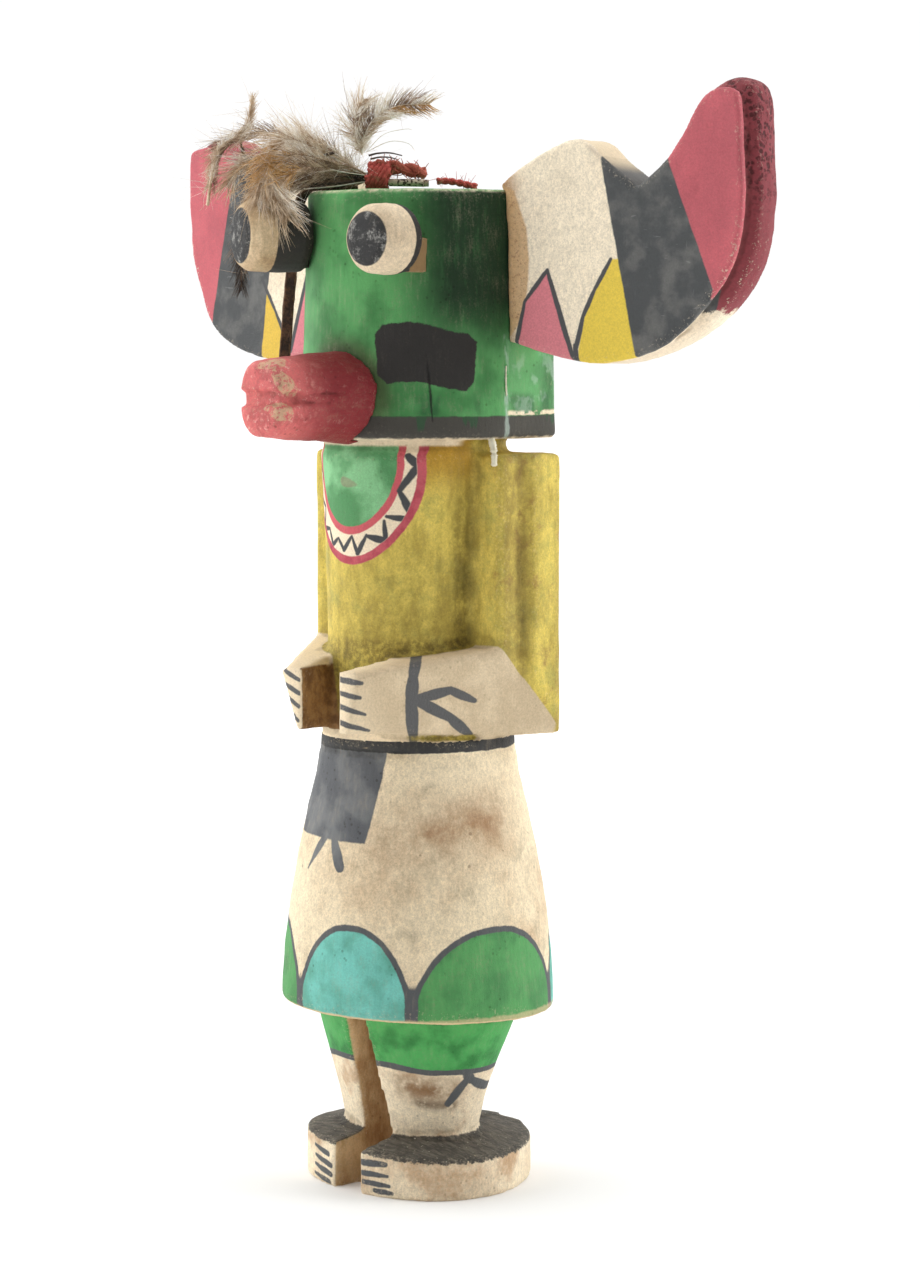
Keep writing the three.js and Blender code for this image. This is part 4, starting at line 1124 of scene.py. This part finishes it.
# a feather: its shaft on the tie, width of the vane, barbs per millimetre, how loose they are, its
# quill's thickness, stray down hairs, and the shades of its two vanes and its quill
tuft = {
    "lean": 1.0, "bare": 0.14,
    "feathers": [
        ([(48.0, 1, 224.4), (47.0, 1, 231), (44.9, 1, 237.6), (40.6, 0, 240.4),
          (38.5, 0, 243), (37.6, 0, 249)],
         2.4, 9, 0.9, 0.75, 60, "tctctctt", "tctbtctt", "t"),
        ([(12, -1, 231.2), (24, -2, 237), (33, -2, 240.8), (41, -1, 240), (45.6, 0, 236.4), (47.4, 0, 229)],
         5.0, 5, 0.5, 0.5, 30, "bbbttbbb", "tbbbcbtt", "t"),
        ([(12, 0.4, 231.5), (22, 4, 236.8), (30, 7, 239), (34, 10, 234),
          (32.6, 14, 227.5), (29.4, 16.4, 221.4)],
         9.0, 7, 0.7, 0.4, 110, "ttctgtct", "btctgttt", "t"),
        ([(12, 0.8, 231), (22, 5, 234.6), (29, 8, 235.4), (34, 12, 230.4), (36, 14.5, 224.5)],
         7.0, 7, 0.8, 0.4, 90, "tbctgttc", "btctggtt", "b"),
        ([(12, 0.8, 230.8), (20, 4, 232.6), (27, 9, 232.4), (30.5, 13, 228.4), (28.6, 16.5, 222.8)],
         6.0, 7, 0.8, 0.3, 80, "btbtgtct", "bbtbgttt", "b"),
        ([(12, 0.2, 231), (21, 0, 233.5), (31, 0, 235.5), (40, 0.5, 234), (43.5, 1, 229)],
         6.0, 6, 0.9, 0.4, 80, "btbtbtct", "bbttbctt", "b"),
        ([(40.9, -2, 240.2), (39.9, -2.4, 235.8), (38.4, -2.6, 232.2), (36.8, -2.4, 228.4)],
         2.4, 7, 0.3, 0.6, 6, "dddb", "bbdd", "d"),
        ([(12, 0.6, 231), (23, 4, 231.6), (34, 5.5, 229.6)],
         8.5, 7, 0.7, 0.3, 70, "bbbtbbtt", "tbbttbbt", "b"),
        ([(9, 0.4, 230.0), (20, 2.2, 229.8), (34, 3.4, 229.4)],
         5.6, 10, 0.6, 0.4, 70, "dbdbdbdb", "bdbbdbbb", "d"),
        ([(10, -1.4, 230.4), (20, -2.2, 230.6), (32, -3.4, 230.4)],
         5.0, 9, 0.5, 0.4, 60, "bbdbtbtb", "bdbbtbbt", "b"),
        ([(12, -0.8, 231.2), (20, -4, 235.4), (29, -6, 239.4)],
         8.0, 5, 1.0, 0.3, 120, "btbtbtcc", "bbtbtcct", "b"),
        ([(12, 0.2, 231.4), (20, 2, 236.4), (27, 3, 240.4)],
         7.0, 5, 1.3, 0.25, 220, "ctccbtcc", "ctcbcctc", "t"),
        ([(12, -1, 231), (22, -5, 231.6), (33, -9, 231.4)],
         8.0, 6, 0.6, 0.3, 50, "bbbbtbbb", "bbtbbbtt", "b"),
        ([(33, -3, 231), (38.4, -6, 226), (40.8, -8, 219), (41, -8.4, 205.4)],
         5.0, 8, 0.5, 0.4, 40, "tbtbbdbd", "bbtbdbdd", "b"),
    ],
    "hairs": [
        ([(31.2, 15.6, 224.4), (29, 17.4, 221.2), (25.6, 18.4, 218.0)], 0.5, "t"),
        ([(30.0, 15.8, 224.0), (28.4, 17.2, 221), (26.8, 18, 218.8)], 0.35, "b"),
        ([(35.0, 14.4, 227.0), (34.4, 16, 224.0), (34.8, 17, 221.6)], 0.35, "t"),
        ([(25.0, 3.2, 234.2), (22, 3.6, 235.4), (19.2, 3.4, 236.2)], 1.3, "d"),
        ([(23.0, 4.0, 232.5), (17, 2.6, 231.8), (12.2, 1.4, 231)], 0.7, "d"),
        ([(20.0, 3.6, 233.9), (16, 2.6, 233.2), (12.2, 1.6, 231.6)], 0.6, "b"),
        ([(24.0, 4.0, 229.0), (18, 3.0, 229.4), (12, 1.2, 230.2)], 0.6, "d"),
        ([(26.0, 4.6, 228.0), (19, 4.2, 228.6), (12, 1.6, 229.8)], 0.35, "c"),
        ([(29.0, 4.2, 231.6), (20, 3.2, 231.0), (11, 1.0, 230.6)], 0.6, "d"),
        ([(27.0, 3.4, 234.6), (19, 2.8, 232.8), (11, 1.2, 231.6)], 0.4, "c"),
        ([(30.0, 3.0, 230.0), (20, 2.4, 229.8), (11, 0.8, 229.8)], 0.7, "b"),
        ([(24.0, 4.6, 233.6), (18, 3.6, 232.0), (11, 1.8, 231.0)], 0.35, "c"),
    ],
}
crest = {
    "lean": 0.55, "bare": 0.03,
    "feathers": [
        ([(12.9, 0, 235.8), (14.6, 0, 240.4), (14.4, 0, 244.6), (12.4, 0, 248.4)],
         8.6, 9, 0.6, 0.35, 110, "tctcbctc", "tbctbcct", "t"),
        ([(12.9, 0, 235.8), (12.2, 0, 240.6), (9.6, 0, 244.6), (4.4, 0, 247.0), (-2.4, 0, 247.2)],
         8.0, 12, 0.3, 0.45, 110, "cccbbbbcccbbbct", "cccttttcctggbgg", "c"),
    ],
    "hairs": [
        ([(12.0, 1, 236.4), (6.7, 1, 238.8), (2.5, 1, 238.4), (1.0, 1, 236.8)], 0.22, "c"),
        ([(12.0, 1, 236.4), (8.0, 1, 240.4), (3.0, 1, 241.6), (1.6, 1, 241.4)], 0.18, "c"),
        ([(11.4, 1.6, 235.6), (9.4, 1.7, 236.1), (6.6, 1.8, 236.2), (3.8, 1.8, 235.6)], 0.5, "d"),
        ([(11.0, 2.2, 234.8), (9.0, 2.2, 235.2), (6.8, 2.2, 235.2), (4.8, 2.2, 234.7)], 0.45, "d"),
    ],
}
barbWidth = 0.12


def shadeOf(letters, t, dice):
    k = int((t + dice.gauss(0, 0.035)) * len(letters))
    return shadeOrder.index(letters[min(max(k, 0), len(letters) - 1)])


def addFeather(piece, look, dice, leaning, bare):
    path, width, density, loose, quill, hairs, above, below, stem = look
    shaft = smoothPath([onTie(*p) for p in path], 80)
    length = sum((b - a).length for a, b in zip(shaft, shaft[1:])) / mm
    addStrand(
        piece, shaft[::4], [quill / barbWidth * (1 - 0.7 * i / 20) for i in range(21)],
        shadeOrder.index(stem))
    for turn, letters in ((1, above), (-1, below)):
        for i in range(int(length * density)):
            t = bare + (1 - bare) * (i + dice.random()) / int(length * density)
            k = min(int(t * 80), 79)
            root = shaft[k].lerp(shaft[k + 1], t * 80 - k)
            forward = (shaft[k + 1] - shaft[k]).normalized()
            across = tieSide.cross(forward).normalized() * turn  # the vane stands upright
            across = (across + tieSide * dice.gauss(0, 0.3 + 0.6 * loose)).normalized()
            swell = math.sin(math.pi * min(1.0, 0.05 + 0.86 * (t - bare) / (1 - bare))) ** 0.5
            reach = width / 2 * mm * swell * dice.uniform(0.7, 1.1) * (1 + loose * dice.random() ** 3)
            lean = leaning * dice.uniform(1.0, 1.8) + 0.4 * t
            curl = Vector([dice.gauss(0, 1) for _ in range(3)]) * (reach * 0.4 * loose)
            places = []
            for j in range(4):
                s = j / 3
                out = across * (reach * s * (1 - 0.15 * s)) + forward * (reach * lean * s * (0.75 + 0.25 * s))
                places.append(root + out + curl * s * s)
            addStrand(piece, places, [1.0, 0.95, 0.75, 0.3], shadeOf(letters, t, dice))
    for _ in range(hairs):  # stray down
        t = dice.uniform(0.05, 0.98)
        root = shaft[int(t * 80)]
        heading = Vector([dice.gauss(0, 1) for _ in range(3)]) + Vector((0, 0, 0.5)) + tieAlong * 0.5
        heading = heading.normalized() * dice.uniform(2.5, 4.5 + 3.5 * loose) * mm
        bend = Vector([dice.gauss(0, 1) for _ in range(3)]) * (0.35 * heading.length)
        places = [root + heading * s + bend * s * s for s in (0, 1 / 3, 2 / 3, 1)]
        addStrand(
            piece, places, [0.5, 0.47, 0.37, 0.2],
            shadeOf(above if dice.random() < 0.5 else "ctct", t, dice))


for name, look, nodeName, seed in (
        ("downyTuft", tuft, "feather_tuft", 11), ("curledCrest", crest, "crest_feather", 23)):
    dice = random.Random(seed)
    piece = strandCurve(name, barbWidth)
    for finish in featherShades.values():
        piece.data.materials.append(finish)
    for feather in look["feathers"]:
        addFeather(piece, feather, dice, look["lean"], look["bare"])
    for path, width, shade in look["hairs"]:
        line = smoothPath([onTie(*p) for p in path], 12)
        addStrand(
            piece, line, [width / barbWidth * (1 - 0.04 * i) for i in range(13)], shadeOrder.index(shade))
    selectOnly(piece)
    bpy.ops.object.convert(target="MESH")
    settle(piece, nodeName)
    print(name, len(piece.data.polygons), "faces")


# yarn, quills and strips of the tie
yarnLook = {"turns": 5, "radius": 3.1, "start": 6.6, "length": 5.4, "height": 231.0, "ply": 0.5, "twist": 2.8}


def yarnFinish(name, shade, fuzz):
    f = Finish(name)
    fibre = cloud(f.place, 2.8, 4.0, 0.7)
    colour = layer(fade(fibre, 0.35, 0.65), layer(0.3, shade, tint(90, 34, 28)), shade)
    colour = layer(f.mottle(0.5, 3.0, 0.55, 0.55, 0.7, 0.0, fuzz), colour, tint(190, 160, 130))
    return f.finish(colour, 0.9, fibre, strength=0.8, depth=0.25)


redYarn = yarnFinish("redYarn", tint(206, 96, 88), 0.5)
rustYarn = yarnFinish("rustYarn", tint(190, 102, 86), 0.7)


def plied(name, line, ply, twist, finish, nodeName, strands=2, hairs=60, seed=5):
    # a yarn of twisted plies along a line of places, with loose hairs
    dice = random.Random(seed)
    piece = strandCurve(name, ply * 2)
    piece.data.bevel_resolution = 2
    piece.data.materials.append(finish)
    travelled = 0.0
    frames = []
    normal = Vector((0.3, 0.2, 0.93))
    for i, place in enumerate(line):
        ahead = (line[min(i + 1, len(line) - 1)] - line[max(i - 1, 0)]).normalized()
        normal = (normal - ahead * normal.dot(ahead)).normalized()
        if i:
            travelled += (place - line[i - 1]).length / mm
        frames.append((place, normal.copy(), ahead.cross(normal), travelled))
    for strand in range(strands):
        places = []
        for place, up, across, far in frames:
            angle = far / twist * 2 * math.pi + 2 * math.pi * strand / strands
            places.append(place + (up * math.cos(angle) + across * math.sin(angle)) * ply * 0.72 * mm)
        addStrand(piece, places, [1.0] * len(places), 0)
    for _ in range(hairs):
        place, up, across, _ = frames[dice.randrange(2, len(frames) - 2)]
        angle = dice.uniform(0, 2 * math.pi)
        out = up * math.cos(angle) + across * math.sin(angle)
        drift = Vector([dice.gauss(0, 0.5) for _ in range(3)])
        root = place + out * ply * mm
        places = [root, root + (out + drift) * 0.5 * mm, root + (out * 0.9 + drift * 2.2) * 0.9 * mm]
        addStrand(piece, places, [0.14, 0.12, 0.06], 0)
    selectOnly(piece)
    bpy.ops.object.convert(target="MESH")
    settle(piece, nodeName)


def onRing(along, angle, radius, height):  # a place on a ring round the tie
    return onTie(along, math.cos(angle) * radius, height + math.sin(angle) * radius)


steps = 40 * yarnLook["turns"]
wound = []
for i in range(steps + 1):
    along = yarnLook["start"] + 0.4 + (yarnLook["length"] - 0.8) * i / steps
    angle = 2 * math.pi * yarnLook["turns"] * i / steps
    wound.append(onRing(along, angle, yarnLook["radius"] - 0.45, yarnLook["height"]))
plied("woundYarn", wound, yarnLook["ply"], yarnLook["twist"], redYarn, "yarn_wrap", hairs=90)

roll = smoothPath(
    [onTie(9.6, 0.5, 233.3), onTie(5.6, 0.3, 233.0), onTie(2.0, 0.3, 232.4), onTie(-1.4, 0.0, 231.7)], 40)
plied("rolledYarn", roll, 0.95, 8.0, rustYarn, "yarn_tail", hairs=120, seed=8)

strip = smoothPath(
    [
        onTie(-4.2, 0, 229.9), onTie(-6.4, 0.4, 229.9), onTie(-8.6, 0.6, 229.6), onTie(-10.8, 0.5, 229.1),
        onTie(-13, 0.4, 228.6)], 40)
plied("looseRedEnd", strip, 0.5, 3.4, redYarn, "red_strip", hairs=30, seed=9)


def quillFinish():
    f = Finish("speckledQuill")
    specks = f.mottle(1.4, 2.0, 0.6, 0.48, 0.58)
    colour = layer(specks, tint(206, 190, 168), tint(70, 56, 46))
    return f.finish(colour, 0.45, specks, strength=0.2, depth=0.1)


quills = {"lengths": [8.2, 9.0, 7.4, 7.8], "start": 6.8, "fan": 1.5, "radius": 0.8}
bundle = []
for i, length in enumerate(quills["lengths"]):
    side = i - quills["fan"]
    begin = onTie(quills["start"], side, 229.6)
    end = onTie(quills["start"] - length, quills["fan"] * side, 229.5)
    bpy.ops.object.select_all(action="DESELECT")
    bpy.ops.mesh.primitive_cylinder_add(
        vertices=16, radius=quills["radius"] * mm, depth=(end - begin).length, end_fill_type="NGON",
        location=(begin + end) / 2, rotation=(end - begin).to_track_quat("Z", "Y").to_euler())
    bpy.ops.object.transform_apply(location=True, rotation=True, scale=True)
    tube = bpy.context.object
    bpy.ops.object.mode_set(mode="EDIT")
    bpy.ops.mesh.select_mode(type="FACE")
    bpy.ops.mesh.select_all(action="DESELECT")
    bpy.ops.object.mode_set(mode="OBJECT")
    for face in tube.data.polygons:  # the cut end of each quill is hollow
        face.select = len(face.vertices) > 4 and (Vector(face.center) - end).length < 0.5 * mm
    bpy.ops.object.mode_set(mode="EDIT")
    bpy.ops.mesh.inset(thickness=0.22 * mm)
    bpy.ops.mesh.extrude_region_move(TRANSFORM_OT_translate={"value": (begin - end).normalized() * 2.4 * mm})
    bpy.ops.object.mode_set(mode="OBJECT")
    bundle.append(tube)
bpy.ops.object.select_all(action="DESELECT")
for tube in bundle:
    tube.select_set(True)
bpy.context.view_layer.objects.active = bundle[0]
bpy.ops.object.join()
quillBundle = bpy.context.object
quillBundle.name = quillBundle.data.name = "quillBundle"
bpy.ops.object.shade_smooth_by_angle(angle=math.radians(40))
quillBundle.data.materials.append(quillFinish())
settle(quillBundle, "quill_ends")


def leatherFinish():
    f = Finish("driedLeather")
    crazed = gives("TexVoronoi", f.place, None, 1.1, feature="DISTANCE_TO_EDGE")
    crazed = fade(crazed, 0.0, 0.12)
    colour = layer(f.mottle(0.35, 4.0, 0.7, 0.4, 0.66), tint(52, 34, 24), tint(98, 66, 46))
    colour = layer(fade(f.edge, 0.15, 0.7, 0.0, 0.6), colour, tint(132, 96, 70))
    colour = layer(1.0, colour, fade(crazed, 0.0, 1.0, 0.7, 1.05), "MULTIPLY")
    return f.finish(colour, 0.55, crazed, strength=0.5, depth=0.2)


leather = copyNode("leather_strip", "leatherStrip")
applyModifier(leather, "REMESH", mode="VOXEL", voxel_size=0.22 * mm)
applyModifier(leather, "SMOOTH", factor=0.5, iterations=3)
applyModifier(
    leather, "DISPLACE", texture=unevenTexture(3.0), strength=0.3 * mm, mid_level=0.5,
    texture_coords="LOCAL")
bpy.ops.object.shade_smooth()
markEdges(leather)
leather.data.materials.append(leatherFinish())
settle(leather, "leather_strip")
print("tie ready")


# glue that ran out of the joints
glueLook = {
    "amber": tint(206, 196, 160), "clear": tint(232, 230, 214),
    "beads": [
        ([(27.0, -0.7, 188.4), (27.1, -0.9, 185.0), (27.0, -0.6, 181.6)], 0.22),
        ([(25.6, -4.2, 172.4), (26.5, -4.4, 170.0), (26.9, -4.6, 168.2), (27.0, -4.7, 166.0)], 0.8),
    ],
}


def glueFinish():
    f = Finish("driedGlue")
    colour = layer(cloud(f.place, 0.6), glueLook["amber"], glueLook["clear"])
    return f.finish(colour, 0.28, cloud(f.place, 1.2), strength=0.3, depth=0.2)


glueBead = strandCurve("glueBeads", 2.0)
glueBead.data.bevel_resolution = 3
glueBead.data.materials.append(glueFinish())
dice = random.Random(3)
for path, size in glueLook["beads"]:
    places = smoothPath([spot(*p) for p in path], 24)
    widths = [size * dice.uniform(0.6, 1.15) * (0.4 if i in (0, 24) else 1) for i in range(25)]
    addStrand(glueBead, places, widths, 0)
selectOnly(glueBead)
bpy.ops.object.convert(target="MESH")
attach(glueBead, "root")

# floor and sky
bpy.ops.object.select_all(action="DESELECT")
bpy.ops.mesh.primitive_circle_add(vertices=64, radius=floor["size"] / 2, fill_type="NGON", location=(0, 0, 0))
ground = bpy.context.object
ground.name = "paleFloor"
paper = bpy.data.materials.new("palePaper")
paper.use_nodes = True
shader = paper.node_tree.nodes["Principled BSDF"]
shade = floor["shade"]
shader.inputs["Base Color"].default_value = (shade, shade, shade, 1)
shader.inputs["Roughness"].default_value = 0.9
building["tree"] = paper.node_tree
away = gives("VectorMath", gives("TexCoord", pick="Object"), operation="LENGTH", pick=1)
glow = fade(away, floor["glowFrom"], floor["glowTo"], floor["nearGlow"], floor["farGlow"])
plug(gives("CombineColor", glow, glow, glow), shader.inputs["Emission Color"])
shader.inputs["Emission Strength"].default_value = 1.0
ground.data.materials.append(paper)

world = bpy.context.scene.world or bpy.data.worlds.new("studio")
bpy.context.scene.world = world
world.use_nodes = True
building["tree"] = world.node_tree
building["tree"].nodes.clear()
turn = math.radians(sky["turn"])
facing = dot(gives("TexCoord", pick="Generated"), (math.sin(turn), -math.cos(turn), 0))
power = fade(facing, sky["from"], sky["to"], sky["bright"], sky["dim"])
plug(gives("Background", (1, 1, 1, 1), power), node("OutputWorld").inputs[0])
print("studio ready")
